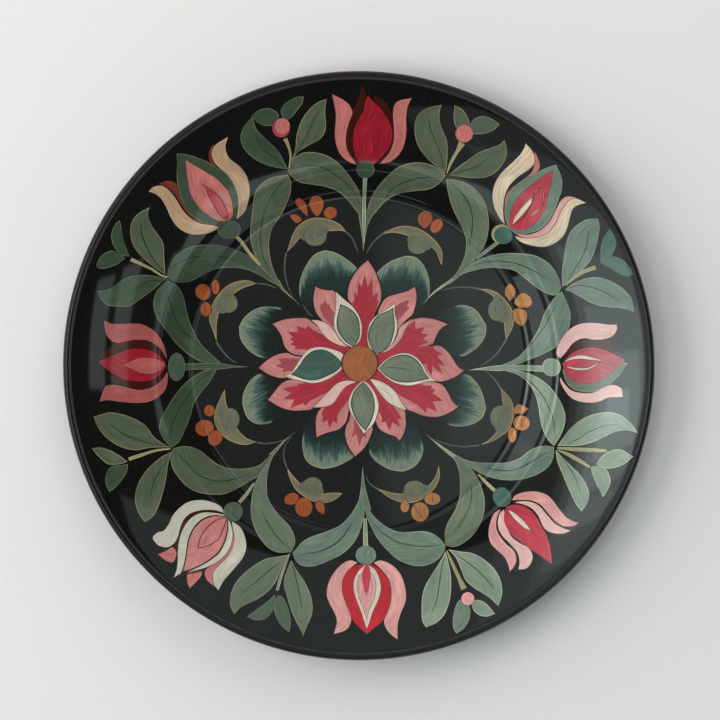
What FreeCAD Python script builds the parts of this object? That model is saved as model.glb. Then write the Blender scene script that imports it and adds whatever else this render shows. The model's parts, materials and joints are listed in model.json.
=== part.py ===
"""Round painted tray: a pressed sheet-steel dish, its edge wired, with a hanging bail on the back.

Frame: +Z up, origin at the centre of the flat underside that the tray stands on, +Y towards the bail.
"""

import FreeCAD, Part
import math
import os
import Sketcher
from FreeCAD import Placement, Rotation, Vector

SIZES = {
    # the dish, measured along the underside of the sheet
    "rim_diameter": 300.0,
    "tray_height": 18.0,
    "well_diameter": 168.0,
    "sheet_thickness": 0.8,
    "cove_radius": 14.0,
    "wall_angle": 28.0,
    "wall_run": 8.7,
    "shoulder_radius": 12.0,
    "flange_turn": 8.0,
    "valley_radius": 2.4,
    "lip_angle": 62.0,
    "curl_turn": 262.0,
    # the wire in the rolled edge
    "wire_diameter": 2.0,
    "wire_clearance": 0.05,
    # the hanging bail, and the folded strap that holds it under the flange
    "bail_eye_radius": 125.5,
    "bail_wire_diameter": 1.6,
    "bail_leg_length": 12.4,
    "bail_corner_radius": 2.0,
    "bail_ground_gap": 1.0,
    "bail_clearance": 0.05,
    "strap_width": 8.0,
    "strap_length": 13.0,
    "strap_layer": 0.6,
    "strap_bedding": 0.2,
    "weld_diameter": 2.4,
    "weld_depth": 0.15,
    "weld_pitch": 5.0,
}

# formulas that several features share: the curl's inside radius, and how far its centre is in from the edge
SEAT = "sizes.wire_diameter / 2 + sizes.wire_clearance"
BEAD = f"({SEAT}) - sizes.sheet_thickness"
# the strap's eye, inside and out
EYE_BORE = "sizes.bail_wire_diameter / 2 + sizes.bail_clearance"
EYE_OUTER = f"{EYE_BORE} + sizes.strap_layer"

doc = FreeCAD.newDocument("painted_tray")
sheet = doc.addObject("Spreadsheet::Sheet", "sizes")
for row, (alias, value) in enumerate(SIZES.items(), start=1):
    sheet.set(f"A{row}", alias)
    sheet.set(f"B{row}", str(value))
    sheet.setAlias(f"B{row}", alias)
doc.recompute()


def size(alias):
    """A driving dimension, read back from the spreadsheet."""
    return float(getattr(sheet, alias))


def dimension(sketch, name, formula, *what):
    """Adds a named dimension to a sketch and binds it to the spreadsheet."""
    sketch.addConstraint(Sketcher.Constraint(*what))
    sketch.renameConstraint(sketch.ConstraintCount - 1, name)
    sketch.setExpression(f"Constraints.{name}", formula)


def heading(angle):
    """Unit vector in the section plane at an angle above the horizontal."""
    return Vector(math.cos(angle), math.sin(angle), 0)


def left_of(angle):
    """Unit vector square to a heading, on its left."""
    return Vector(-math.sin(angle), math.cos(angle), 0)


def bend(sketch, start, angle, radius, turn):
    """Adds one bend of the sheet to the section: an arc from start that turns by turn, left if positive.

    Returns the arc's number and its end point.
    """
    side = math.copysign(1, turn)
    centre = start + left_of(angle) * radius * side
    first = angle - side * math.pi / 2
    low, high = sorted((first, first + turn))
    circle = Part.Circle(centre, Vector(0, 0, 1), radius)
    number = sketch.addGeometry(Part.ArcOfCircle(circle, low, high), False)
    return number, centre - left_of(angle + turn) * radius * side


def run(sketch, start, angle, length):
    """Adds one straight run of the sheet to the section. Returns its number and its end point."""
    end = start + heading(angle) * length
    return sketch.addGeometry(Part.LineSegment(start, end), False), end


def flange_fit():
    """Heading at the flange's foot and radius of its arc, which carry it from the wall up to the wire."""
    wall, lip = math.radians(size("wall_angle")), math.radians(size("lip_angle"))
    turn = math.radians(size("flange_turn"))
    seat = size("wire_diameter") / 2 + size("wire_clearance")
    bead = seat + size("sheet_thickness")
    wall_top = Vector(size("well_diameter") / 2, 0, 0) + heading(wall) * size("wall_run")
    wall_top += (left_of(0) - left_of(wall)) * size("cove_radius")
    lip_start = Vector(size("rim_diameter") / 2 - bead, size("tray_height") - bead, 0) + left_of(lip) * seat
    foot = 0
    for _ in range(40):
        start = wall_top + (left_of(foot) - left_of(wall)) * size("shoulder_radius")
        end = lip_start - (left_of(foot + turn) - left_of(lip)) * size("valley_radius")
        chord = end - start
        foot = math.atan2(chord.y, chord.x) - turn / 2
    return foot, chord.Length / (2 * math.sin(turn / 2))


def section_sketch():
    """The dish's section: the line of the sheet's underside, from the axis out and round the wire."""
    sketch = doc.addObject("Sketcher::SketchObject", "section")
    sketch.Placement = Placement(Vector(), Rotation(Vector(1, 0, 0), 90))
    foot, flange_radius = flange_fit()
    wall_angle, lip_angle, flange_turn, curl_turn = (
        math.radians(size(name)) for name in ("wall_angle", "lip_angle", "flange_turn", "curl_turn"))
    seat = size("wire_diameter") / 2 + size("wire_clearance")
    well, point = run(sketch, Vector(), 0, size("well_diameter") / 2)
    cove, point = bend(sketch, point, 0, size("cove_radius"), wall_angle)
    wall, point = run(sketch, point, wall_angle, size("wall_run"))
    shoulder, point = bend(sketch, point, wall_angle, size("shoulder_radius"), foot - wall_angle)
    flange, point = bend(sketch, point, foot, flange_radius, flange_turn)
    brim = foot + flange_turn
    valley, point = bend(sketch, point, brim, size("valley_radius"), lip_angle - brim)
    curl, point = bend(sketch, point, lip_angle, seat, -curl_turn)

    # a left bend starts at its arc's point 1, a right bend at its point 2
    joints = [(well, 2, cove, 1), (cove, 2, wall, 1), (wall, 2, shoulder, 2), (shoulder, 1, flange, 1)]
    joints += [(flange, 2, valley, 1), (valley, 2, curl, 2)]
    for joint in joints:
        sketch.addConstraint(Sketcher.Constraint("Tangent", *joint))
    sketch.addConstraint(Sketcher.Constraint("Coincident", well, 1, -1, 1))
    sketch.addConstraint(Sketcher.Constraint("Horizontal", well))
    well_run = size("well_diameter") / 2
    dimension(sketch, "well_run", "sizes.well_diameter / 2", "DistanceX", well, 1, well, 2, well_run)
    dimension(sketch, "wall_run", "sizes.wall_run", "Distance", wall, size("wall_run"))
    for name, arc in (("cove", cove), ("shoulder", shoulder), ("valley", valley)):
        dimension(sketch, f"{name}_radius", f"sizes.{name}_radius", "Radius", arc, size(f"{name}_radius"))
    for name, arc, angle in (("wall_angle", cove, wall_angle), ("flange_turn", flange, flange_turn),
                             ("curl_turn", curl, curl_turn)):
        dimension(sketch, name, f"sizes.{name} * 1 deg", "Angle", arc, angle)
    dimension(sketch, "seat_radius", SEAT, "Radius", curl, seat)
    lip_in = seat * math.sin(lip_angle)
    lip_formula = f"({SEAT}) * sin(sizes.lip_angle * 1 deg)"
    dimension(sketch, "lip_in", lip_formula, "DistanceX", curl, 2, curl, 3, lip_in)
    reach = size("rim_diameter") / 2 - seat - size("sheet_thickness")
    rise = size("tray_height") - seat - size("sheet_thickness")
    dimension(sketch, "wire_reach", f"sizes.rim_diameter / 2 - {BEAD}", "DistanceX", -1, 1, curl, 3, reach)
    dimension(sketch, "wire_rise", f"sizes.tray_height - {BEAD}", "DistanceY", -1, 1, curl, 3, rise)
    doc.recompute()
    return sketch, flange


def axis_plane(body, role):
    """One of a body's own origin planes, found by its role."""
    return next(item for item in body.Origin.OriginFeatures if item.Role == role)


section, flange = section_sketch()
flange_arc = section.Geometry[flange]

# the dish: the section line thickened upwards and turned about the axis
thick_section = doc.addObject("Part::Offset2D", "thick_section")
thick_section.Source = section
thick_section.Mode = "Skin"
thick_section.Join = "Arc"
thick_section.Fill = True
thick_section.setExpression("Value", "sizes.sheet_thickness")
tray_pan = doc.addObject("Part::Revolution", "tray_pan")
tray_pan.Label = "tray_pan"
tray_pan.Source = thick_section
tray_pan.Axis = Vector(0, 0, 1)
tray_pan.Angle = 360
tray_pan.Solid = True

# the ring of wire that the edge is rolled round
rim_wire = doc.addObject("Part::Torus", "rim_wire")
rim_wire.Label = "rim_wire"
rim_wire.setExpression("Radius1", f"sizes.rim_diameter / 2 - {BEAD}")
rim_wire.setExpression("Radius2", "sizes.wire_diameter / 2")
rim_wire.setExpression("Placement.Base.z", f"sizes.tray_height - {BEAD}")
doc.recompute()

# the bail's eye hangs where its strap just touches the underside of the flange
eye_outer = size("bail_wire_diameter") / 2 + size("bail_clearance") + size("strap_layer")
eye_swing = flange_arc.Radius + eye_outer
eye_lean = math.asin((size("bail_eye_radius") - flange_arc.Center.x) / eye_swing)
eye = Vector(0, size("bail_eye_radius"), flange_arc.Center.y - eye_swing * math.cos(eye_lean))


def strap_side(body):
    """The folded strap's side view: two layers lying together, with the eye bent into the fold."""
    sketch = body.newObject("Sketcher::SketchObject", "strap_side")
    sketch.AttachmentSupport = [(axis_plane(body, "YZ_Plane"), "")]
    sketch.MapMode = "FlatFace"
    top = eye_outer + size("strap_bedding")
    under = eye_outer - 2 * size("strap_layer")
    meet = Vector(-math.sqrt(eye_outer**2 - under**2), under, 0)
    crown = Vector(0, eye_outer, 0)
    end = -size("strap_length")
    corners = [Vector(0, top, 0), Vector(end, top, 0), Vector(end, under, 0)]
    ring = Part.Circle(Vector(), Vector(0, 0, 1), eye_outer)
    fold = sketch.addGeometry(Part.ArcOfCircle(ring, math.atan2(under, meet.x), 2.5 * math.pi), False)
    path = [crown, *corners, meet]
    edges = [Part.LineSegment(a, b) for a, b in zip(path, path[1:])]
    step, roof, back, sole = (sketch.addGeometry(edge, False) for edge in edges)
    bore = eye_outer - size("strap_layer")
    hole = sketch.addGeometry(Part.Circle(Vector(), Vector(0, 0, 1), bore), False)
    joints = [(fold, 2, step, 1), (step, 2, roof, 1), (roof, 2, back, 1)]
    joints += [(back, 2, sole, 1), (sole, 2, fold, 1)]
    for joint in [*joints, (fold, 3, -1, 1), (hole, 3, -1, 1)]:
        sketch.addConstraint(Sketcher.Constraint("Coincident", *joint))
    for line in (step, back):
        sketch.addConstraint(Sketcher.Constraint("Vertical", line))
    for line in (roof, sole):
        sketch.addConstraint(Sketcher.Constraint("Horizontal", line))
    sketch.addConstraint(Sketcher.Constraint("PointOnObject", step, 1, -2))
    dimension(sketch, "eye_outer", EYE_OUTER, "Radius", fold, eye_outer)
    dimension(sketch, "eye_bore", EYE_BORE, "Radius", hole, bore)
    bedding = size("strap_bedding")
    dimension(sketch, "bedding", "sizes.strap_bedding", "DistanceY", step, 1, step, 2, bedding)
    dimension(sketch, "length", "sizes.strap_length", "DistanceX", back, 2, -1, 1, size("strap_length"))
    layers = 2 * size("strap_layer")
    dimension(sketch, "layers", "2 * sizes.strap_layer", "DistanceY", sole, 1, step, 1, layers)
    return sketch


def weld_marks(body):
    """Two round spot-weld marks on the strap's underside, along its middle."""
    sketch = body.newObject("Sketcher::SketchObject", "weld_marks")
    sketch.AttachmentSupport = [(axis_plane(body, "XY_Plane"), "")]
    sketch.MapMode = "FlatFace"
    sketch.setExpression("AttachmentOffset.Base.z", f"{EYE_OUTER} - 2 * sizes.strap_layer")
    middle = -(size("strap_length") + eye_outer) / 2
    radius = size("weld_diameter") / 2
    for side, place in (("inner", -1), ("outer", 1)):
        where = middle + place * size("weld_pitch") / 2
        mark = sketch.addGeometry(Part.Circle(Vector(0, where, 0), Vector(0, 0, 1), radius), False)
        sketch.addConstraint(Sketcher.Constraint("PointOnObject", mark, 3, -2))
        dimension(sketch, f"{side}_mark", "sizes.weld_diameter / 2", "Radius", mark, radius)
        formula = f"(sizes.strap_length + {EYE_OUTER} - {place} * sizes.weld_pitch) / 2"
        dimension(sketch, f"{side}_place", formula, "DistanceY", mark, 3, -1, 1, -where)
    return sketch


strap = doc.addObject("PartDesign::Body", "strap")
strap.Placement = Placement(eye, Rotation(Vector(1, 0, 0), math.degrees(eye_lean)))
strap_pad = strap.newObject("PartDesign::Pad", "strap_pad")
strap_pad.Profile = strap_side(strap)
strap_pad.Midplane = True
strap_pad.setExpression("Length", "sizes.strap_width")
doc.recompute()
plain_volume = strap_pad.Shape.Volume
weld_pocket = strap.newObject("PartDesign::Pocket", "weld_pocket")
weld_pocket.Profile = weld_marks(strap)
weld_pocket.Reversed = True
weld_pocket.setExpression("Length", "sizes.weld_depth")
doc.recompute()
mark_volume = 2 * math.pi * (size("weld_diameter") / 2)**2 * size("weld_depth")
assert math.isclose(plain_volume - weld_pocket.Shape.Volume, mark_volume, rel_tol=1e-3), "weld marks"

# the strap is bedded to the dish, so its top takes the shape of the flange
bail_strap = doc.addObject("Part::Cut", "bail_strap")
bail_strap.Label = "bail_strap"
bail_strap.Base = strap
bail_strap.Tool = tray_pan


def bail_path():
    """The bail's centre line: a straight leg through the eye, closed below by a wide bow."""
    sketch = doc.addObject("Sketcher::SketchObject", "bail_path")
    sketch.Placement = Placement(eye, Rotation(Vector(1, 0, 0), 90))
    half, corner = size("bail_leg_length") / 2, size("bail_corner_radius")
    drop = eye.z - size("bail_wire_diameter") / 2 - size("bail_ground_gap")
    bow = (half**2 + drop**2 - 2 * corner * drop) / (2 * (drop - 2 * corner))
    bow_centre = Vector(0, bow - drop, 0)
    leg = sketch.addGeometry(Part.LineSegment(Vector(-half, 0, 0), Vector(half, 0, 0)), False)
    reach = math.atan2(-corner - bow_centre.y, half)
    arcs = []
    for centre, low, high, radius in ((Vector(half, -corner, 0), reach, math.pi / 2, corner),
                                      (bow_centre, -math.pi - reach, reach, bow),
                                      (Vector(-half, -corner, 0), math.pi / 2, math.pi - reach, corner)):
        ring = Part.Circle(centre, Vector(0, 0, 1), radius)
        arcs.append(sketch.addGeometry(Part.ArcOfCircle(ring, low, high), False))
    right, bottom, left = arcs
    for joint in ((leg, 2, right, 2), (right, 1, bottom, 2), (bottom, 1, left, 2), (left, 1, leg, 1)):
        sketch.addConstraint(Sketcher.Constraint("Tangent", *joint))
    sketch.addConstraint(Sketcher.Constraint("Symmetric", leg, 1, leg, 2, -1, 1))
    sketch.addConstraint(Sketcher.Constraint("Horizontal", leg))
    sketch.addConstraint(Sketcher.Constraint("Equal", right, left))
    dimension(sketch, "leg_length", "sizes.bail_leg_length", "DistanceX", leg, 1, leg, 2, 2 * half)
    dimension(sketch, "corner_radius", "sizes.bail_corner_radius", "Radius", right, corner)
    lowest = sketch.addGeometry(Part.Point(Vector(0, -drop, 0)), True)
    sketch.addConstraint(Sketcher.Constraint("PointOnObject", lowest, 1, bottom))
    sketch.addConstraint(Sketcher.Constraint("PointOnObject", lowest, 1, -2))
    formula = "strap.Placement.Base.z / 1 mm - sizes.bail_wire_diameter / 2 - sizes.bail_ground_gap"
    dimension(sketch, "drop", formula, "DistanceY", lowest, 1, -1, 1, drop)
    return sketch


def bail_section():
    """The bail wire's round section, at one end of the leg."""
    sketch = doc.addObject("Sketcher::SketchObject", "bail_section")
    sketch.Placement = Placement(eye, Rotation(Vector(1, 1, 1), 120))
    sketch.setExpression("Placement.Base.x", "-sizes.bail_leg_length / 2")
    radius = size("bail_wire_diameter") / 2
    wire = sketch.addGeometry(Part.Circle(Vector(), Vector(0, 0, 1), radius), False)
    sketch.addConstraint(Sketcher.Constraint("Coincident", wire, 3, -1, 1))
    dimension(sketch, "wire", "sizes.bail_wire_diameter / 2", "Radius", wire, radius)
    return sketch


hanging_bail = doc.addObject("Part::Sweep", "hanging_bail")
hanging_bail.Label = "hanging_bail"
hanging_bail.Sections = [bail_section()]
spine = bail_path()
doc.recompute()
hanging_bail.Spine = (spine, [f"Edge{number + 1}" for number in range(len(spine.Shape.Edges))])
hanging_bail.Solid = True
hanging_bail.Frenet = True
doc.recompute()
length = spine.Shape.Length
area = math.pi * (size("bail_wire_diameter") / 2)**2
assert math.isclose(hanging_bail.Shape.Volume, length * area, rel_tol=1e-3), "bail sweep"


for item in doc.Objects:
    if {"Invalid", "Error"} & set(item.State):
        raise RuntimeError(f"{item.Name} did not build: {item.State}")
os.makedirs("parts", exist_ok=True)
for part in (tray_pan, rim_wire, bail_strap, hanging_bail):
    if part.Shape.isNull() or not part.Shape.isValid() or len(part.Shape.Solids) != 1:
        raise RuntimeError(f"{part.Label} is not one sound solid")
    part.Shape.exportStep(f"parts/{part.Label}.step")
    box = part.Shape.optimalBoundingBox()
    low = tuple(round(value, 2) for value in (box.XMin, box.YMin, box.ZMin))
    high = tuple(round(value, 2) for value in (box.XMax, box.YMax, box.ZMax))
    print(f"{part.Label}: {part.Shape.Volume:.1f} mm3, {low} to {high}")
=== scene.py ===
import json
import math
import random
from bisect import bisect_right

import bmesh
import bpy
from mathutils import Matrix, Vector

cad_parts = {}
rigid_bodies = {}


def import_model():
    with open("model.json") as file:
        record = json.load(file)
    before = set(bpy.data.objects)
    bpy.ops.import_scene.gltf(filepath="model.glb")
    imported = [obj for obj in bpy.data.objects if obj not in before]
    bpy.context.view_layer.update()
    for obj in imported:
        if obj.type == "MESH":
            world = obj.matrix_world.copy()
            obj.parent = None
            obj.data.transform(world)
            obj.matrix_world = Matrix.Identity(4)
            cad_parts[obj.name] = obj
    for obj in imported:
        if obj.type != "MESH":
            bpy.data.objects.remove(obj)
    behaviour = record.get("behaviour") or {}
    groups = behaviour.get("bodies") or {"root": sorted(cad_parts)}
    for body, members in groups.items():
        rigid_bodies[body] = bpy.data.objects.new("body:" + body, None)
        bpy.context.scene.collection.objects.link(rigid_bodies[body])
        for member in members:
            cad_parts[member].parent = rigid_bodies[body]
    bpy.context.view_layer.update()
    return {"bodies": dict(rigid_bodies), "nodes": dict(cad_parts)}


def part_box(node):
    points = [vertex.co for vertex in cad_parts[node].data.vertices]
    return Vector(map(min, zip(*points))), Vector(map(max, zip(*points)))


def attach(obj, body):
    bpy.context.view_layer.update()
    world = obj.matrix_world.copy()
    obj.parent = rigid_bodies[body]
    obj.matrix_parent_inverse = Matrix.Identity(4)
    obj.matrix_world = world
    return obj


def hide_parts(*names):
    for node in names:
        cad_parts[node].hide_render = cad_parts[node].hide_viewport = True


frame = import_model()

bl_info = {
    "name": "Painted Tray",
    "version": (1, 0, 0),
    "blender": (4, 5, 0),
    "location": "3D Viewport > Sidebar > Painted Tray",
    "description": "Builds a round lacquered metal tray with its flower painting, hanger and studio",
    "category": "Object",
}

MM = 0.001
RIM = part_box("tray_pan")[1].x
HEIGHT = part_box("tray_pan")[1].z
PAN_BODY = next(name for name, body in frame["bodies"].items() if frame["nodes"]["tray_pan"].parent == body)

# how a stroke's net is laid out: its cells in mm, and the radius past which they are the fine ones
FINE_CELL = 1.0
COARSE_CELL = 1.6
COARSE_REACH = 83
LEAST_ROWS = 6
MOST_COLUMNS = 30

# how wet paint spreads past the drawn sides, as a share of the outline's width, and past a pointed tip
SPREAD = 0.45
TIP_SPREAD = 2.4
SPREAD_WIDTH = 0.6
POINT_WIDTH = 0.2
POINT_SLENDER = 3

# how coats of paint pile up, in mm, counted on squares of this size, and how thick each one is in
# itself, as a share of the film, so that it stays under the next
SQUARE = 1.5
FIRST_LIFT = 0.01
FLAT_COAT = 0.008
CURVED_COAT = 0.022
FLAT_REACH = 82.0
FILM_SHARE = 0.35

# lengths of the pale hairs on a round leaf, in mm, at its sides and at its middle
SIDE_HAIR = 2.5
LONG_HAIR = 11.0

# widths of fine lines, in mm, and the share of its size by which a lobe's side bulges stand out
FINE_LINE = 0.3
FLAME_POINT = 0.1
BULGE_SIZE = 0.55
BULGE_SIDE = 0.72
BULGE_OUT = 0.3

# colours of the daylight and of the lamps low at the sides
COOL = (0.86, 1.0, 1.0)
WARM = (1.1, 0.985, 0.97)


def shade(code):
    """A linear colour from its usual six-digit code."""
    parts = (int(code[place:place + 2], 16) / 255 for place in (1, 3, 5))
    return tuple(part / 12.92 if part <= 0.04045 else ((part + 0.055) / 1.055) ** 2.4 for part in parts)


# name: (what it paints, body, brush streak, edge line, edge width in mm, outline, outline width in mm)
PAINTS = {
    "sage": ("leaves above and below", "#6d7560", "#536857", "#a3a184", 0.45, "#1d211b", 0.12),
    # painted shade: the sage leaf paint made darker and more olive for the leaves at the upper left, which
    # lie in shade
    "sage_olive": ("leaves at the upper left", "#5c644d", "#46574a", "#a39568", 0.5, "#1d1f17", 0.12),
    # painted shade: the sage leaf paint made darker still for the leaves on the shaded left side
    "sage_dark": ("leaves in the shaded left side", "#46533f", "#31483c", "#8d9070", 0.4, "#151a13", 0.12),
    # painted light: the sage leaf paint made paler and bluer for the lit leaves at the lower right, with the
    # varnish's sheen painted in
    "sage_blue": ("leaves at the lower right", "#738373", "#547063", "#a5a88c", 0.45, "#1c2320", 0.12),
    # painted light: the sage leaf paint at its palest for the leaves at the right rim, with the window's
    # glare painted in as a painted reflection
    "sage_pale": ("leaves at the right rim", "#87957f", "#698375", "#c3c7a5", 0.5, "#252b27", 0.12),
    "sheath": ("green tulip sheaths", "#566453", "#44564a", "#8c9a80", 0.35, "#2a2620", 0.15),
    "teal": ("dark tulip knobs", "#4b6c60", "#3d594f", "#c9bd92", 0.1, "#1c2f2a", 0.1),
    "pine": ("round leaves behind the flower", "#172a27", "#13211e", "#a8ab86", 0.35, "#0c1211", 0.1),
    "olive_light": ("curled leaves", "#79745a", "#62634f", "#c8a86c", 0.45, "#1f2019", 0.1),
    "lobe": ("lobes of the curled leaves", "#6f735c", "#596150", "#6f735c", 0.05, "#3c4034", 0.2),
    "curl_line": ("thin lines on the curled leaves", "#87825f", "#716f52", "#87825f", 0.05, "#8d8159", 0.01),
    "hair": ("thin tendrils", "#585e51", "#485046", "#83897a", 0.05, "#555b50", 0.01),
    "ochre_pale": ("pale stalks", "#a29a70", "#87835f", "#cdc091", 0.3, "#2a281d", 0.08),
    "grey_pale": ("grey stalks", "#8f917d", "#767a69", "#bdbda0", 0.3, "#242620", 0.08),
    "vein": ("dark leaf veins", "#262d22", "#1d231a", "#262d22", 0.01, "#262d22", 0.01),
    "maroon": ("shaded petal backs", "#44160f", "#36100b", "#6d2d29", 0.2, "#210c0c", 0.15),
    "rust": ("brown petal backs", "#7d382f", "#652a23", "#91473a", 0.2, "#2b1210", 0.15),
    "garnet": ("dark red lines", "#6a1620", "#560f18", "#6a1620", 0.01, "#6a1620", 0.01),
    "pink": ("pink tulip petals", "#d17b75", "#a8645e", "#e6a9a3", 0.4, "#5b211f", 0.3),
    "coral": ("pink petals on the shaded side", "#b05a58", "#924e4b", "#d89a90", 0.45, "#431a18", 0.3),
    "rose": ("rose hearts", "#bf4350", "#90333c", "#cb6a70", 0.3, "#5a1a20", 0.2),
    "rose_red": ("red tulip hearts", "#c43e4e", "#a1333f", "#cc5a62", 0.3, "#4f151b", 0.2),
    "red": ("deep red tulip hearts", "#a3202f", "#861523", "#b8323f", 0.3, "#3d0f14", 0.2),
    "blush": ("palest pink petals", "#e6a49f", "#b68783", "#f0cfc8", 0.45, "#6d3630", 0.3),
    "cream": ("cream petals", "#e3d1b2", "#b7a891", "#f1e6cf", 0.4, "#4a3628", 0.3),
    "sand": ("warm cream petals", "#c6a684", "#a4896d", "#ecd9b4", 0.5, "#332318", 0.3),
    "shell": ("pale pinkish petals", "#eab8b5", "#cbb0a2", "#ecdccd", 0.4, "#4a3628", 0.3),
    "ivory": ("grey-white petals", "#c9c7b6", "#b9b7a4", "#deddcd", 0.4, "#43382b", 0.3),
    "scarlet": ("bright red tulip heart", "#c2202f", "#a51a28", "#cf4853", 0.3, "#4a1218", 0.2),
    "white": ("white petals and borders", "#e8d9c6", "#b9b1a5", "#f6f0e4", 0.3, "#57473a", 0.3),
    "petal_pink": ("petals of the large flower", "#d38984", "#aa6e6a", "#e5a8a3", 0.55, "#17100e", 0.8),
    "flame": ("red hearts of the petals", "#b73241", "#932634", "#b13040", 0.05, "#b22b3e", 0.01),
    "flame_soft": ("paler hearts of the petals", "#ab5258", "#8e4348", "#ab5258", 0.05, "#c65a62", 0.01),
    "sepal": ("green sepals", "#77836f", "#626c5b", "#8c9a82", 0.2, "#31322b", 0.55),
    "sepal_deep": ("dark green sepal", "#476459", "#395249", "#5d8274", 0.2, "#232c27", 0.5),
    "sepal_line": ("lines along the sepals", "#59605a", "#4c534d", "#59605a", 0.01, "#59605a", 0.01),
    "flower_heart": ("the flower's round heart", "#ab683b", "#89542f", "#bd8249", 0.1, "#2c2420", 0.75),
    "orange": ("berries on the left", "#ab562b", "#884524", "#cb7c4a", 0.35, "#451a10", 0.4),
    "berry_line": ("fine lines on the berries", "#7a3518", "#6b2d14", "#7a3518", 0.01, "#7a3518", 0.01),
    "amber": ("berries on the right", "#c08247", "#986739", "#dc9f60", 0.35, "#4a2a14", 0.4),
}


def blade(paint, base, left, tip, right):
    """A brush stroke from base to tip, with its left side in order and its right side coming back."""
    return {"paint": paint, "left": [base, *left, tip], "right": [base, *right[::-1], tip]}


def petal(paint, base, tip, side, other):
    """A stroke given by its tip and the two sides that run from there to the base."""
    return blade(paint, base, side[::-1], tip, other)


def sepal(paint, base, tip, side, other):
    """A stroke given by its base, its tip and the two sides that run from the base up to the tip."""
    return blade(paint, base, side, tip, other[::-1])


def line(paint, *places):
    """A thin stroke through (x, y, width) places."""
    left, right = [], []
    for place, before, after in zip(places, (places[0], *places), (*places[1:], places[-1])):
        course = Vector((after[0] - before[0], after[1] - before[1])).normalized() * (place[2] / 2)
        left.append((place[0] - course.y, place[1] + course.x))
        right.append((place[0] + course.y, place[1] - course.x))
    return {"paint": paint, "left": left, "right": right}


def dot(paint, x, y, across, along, turn=0):
    """An oval dab with its two half widths, turned by degrees."""
    sides = []
    for hand in (-1, 1):
        angles = [math.radians(step * 30 - 90) for step in range(7)]
        ovals = [Vector((hand * across * math.cos(angle), along * math.sin(angle))) for angle in angles]
        lean = math.radians(turn)
        sides.append([(x + oval.x * math.cos(lean) - oval.y * math.sin(lean),
                       y + oval.x * math.sin(lean) + oval.y * math.cos(lean)) for oval in ovals])
    return {"paint": paint, "left": sides[0], "right": sides[1]}


def lobe(x, y, across, along):
    """A rounded lobe that hangs from a curled leaf, with two side bulges and three curled thin lines."""
    inward = math.atan2(-y, -x)
    strokes = [dot("lobe", x - (math.cos(inward) * BULGE_OUT + math.sin(inward) * side) * across,
                   y - (math.sin(inward) * BULGE_OUT - math.cos(inward) * side) * along,
                   across * BULGE_SIZE, along * BULGE_SIZE) for side in (-BULGE_SIDE, BULGE_SIDE)]
    strokes.append(dot("lobe", x, y, across, along))
    for share, reach in ((0.78, 1.5), (0.5, 1.1), (0.25, 0.9)):
        turns = [inward + reach * (step / 4 - 1) for step in range(9)]
        curl = [(x + across * share * math.cos(turn), y + along * share * math.sin(turn), FINE_LINE)
                for turn in turns]
        strokes.append(line("curl_line", *curl))
    return strokes


def berry(paint, x, y, across, along, turn=0):
    """A berry: a dab with one fine line down its middle."""
    lean = math.radians(turn)
    places = [(x - math.sin(lean) * along * share, y + math.cos(lean) * along * share, FINE_LINE)
              for share in (-0.6, -0.2, 0.2, 0.6)]
    return [dot(paint, x, y, across, along, turn), line("berry_line", *places)]


def flames(paint, root, waist, width, peaks):
    """Pointed tongues of paint that leave one root, pass a waist and part towards their peaks."""
    start, middle = Vector(root), Vector(waist)
    tongues = []
    for peak in peaks:
        end = Vector(peak)
        belly, neck = middle.lerp(end, 0.3), middle.lerp(end, 0.62)
        tongues.append(line(paint, (*start, width), (*start.lerp(belly, 0.5), width * 1.55),
                            (*belly, width * 1.35), (*neck, width * 0.8), (*end, FLAME_POINT)))
    return tongues


# the painting, in mm from the tray's centre: groups of strokes, each in the order it is laid
PAINTING = {}

PAINTING["spray_north"] = [
    line("sage_olive", (2.2, 56.5, 0.2), (2.3, 61, 0.9), (2.5, 66, 2.2), (2.6, 72, 4.2), (2.6, 79, 6.5)),
    blade("sage_olive", (2.6, 66), [(1.5, 74), (-2, 79), (-6, 84), (-11, 88.3), (-17, 90.7), (-23, 91.8),
            (-29, 92.8), (-33, 95)],
          (-36, 99), [(-35, 103.5), (-31, 107), (-27, 108.6), (-21, 108.4), (-15, 106.3), (-9, 101.8),
            (-3.5, 94.5), (0.3, 88), (2.6, 79)]),
    blade("sage_olive", (2.8, 66), [(4.3, 79), (7, 86.5), (11, 92.5), (15.5, 97.3), (20, 101), (27, 103.3),
            (34, 103), (39.5, 100.7)],
          (44, 96.8), [(40, 92), (35, 89.3), (30, 88.8), (24, 87.8), (18, 86), (13, 82.5), (9, 78),
            (6, 74)]),
    line("sage_pale", (2.7, 62, 0.6), (2.7, 72, 2), (2.7, 84, 1.8), (3.2, 95.5, 2.2)),
    line("vein", (0.5, 82, 0.3), (-4, 90, 0.4), (-10, 95.6, 0.4), (-16, 99.7, 0.4), (-21, 101.6, 0.4),
         (-28, 101.6, 0.3), (-35, 99.7, 0.2)),
    line("vein", (13, 84, 0.2), (16, 88.8, 0.4), (20, 91.6, 0.4), (27, 94.6, 0.4), (33, 95.7, 0.3),
         (41, 95.6, 0.2)),
]

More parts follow.
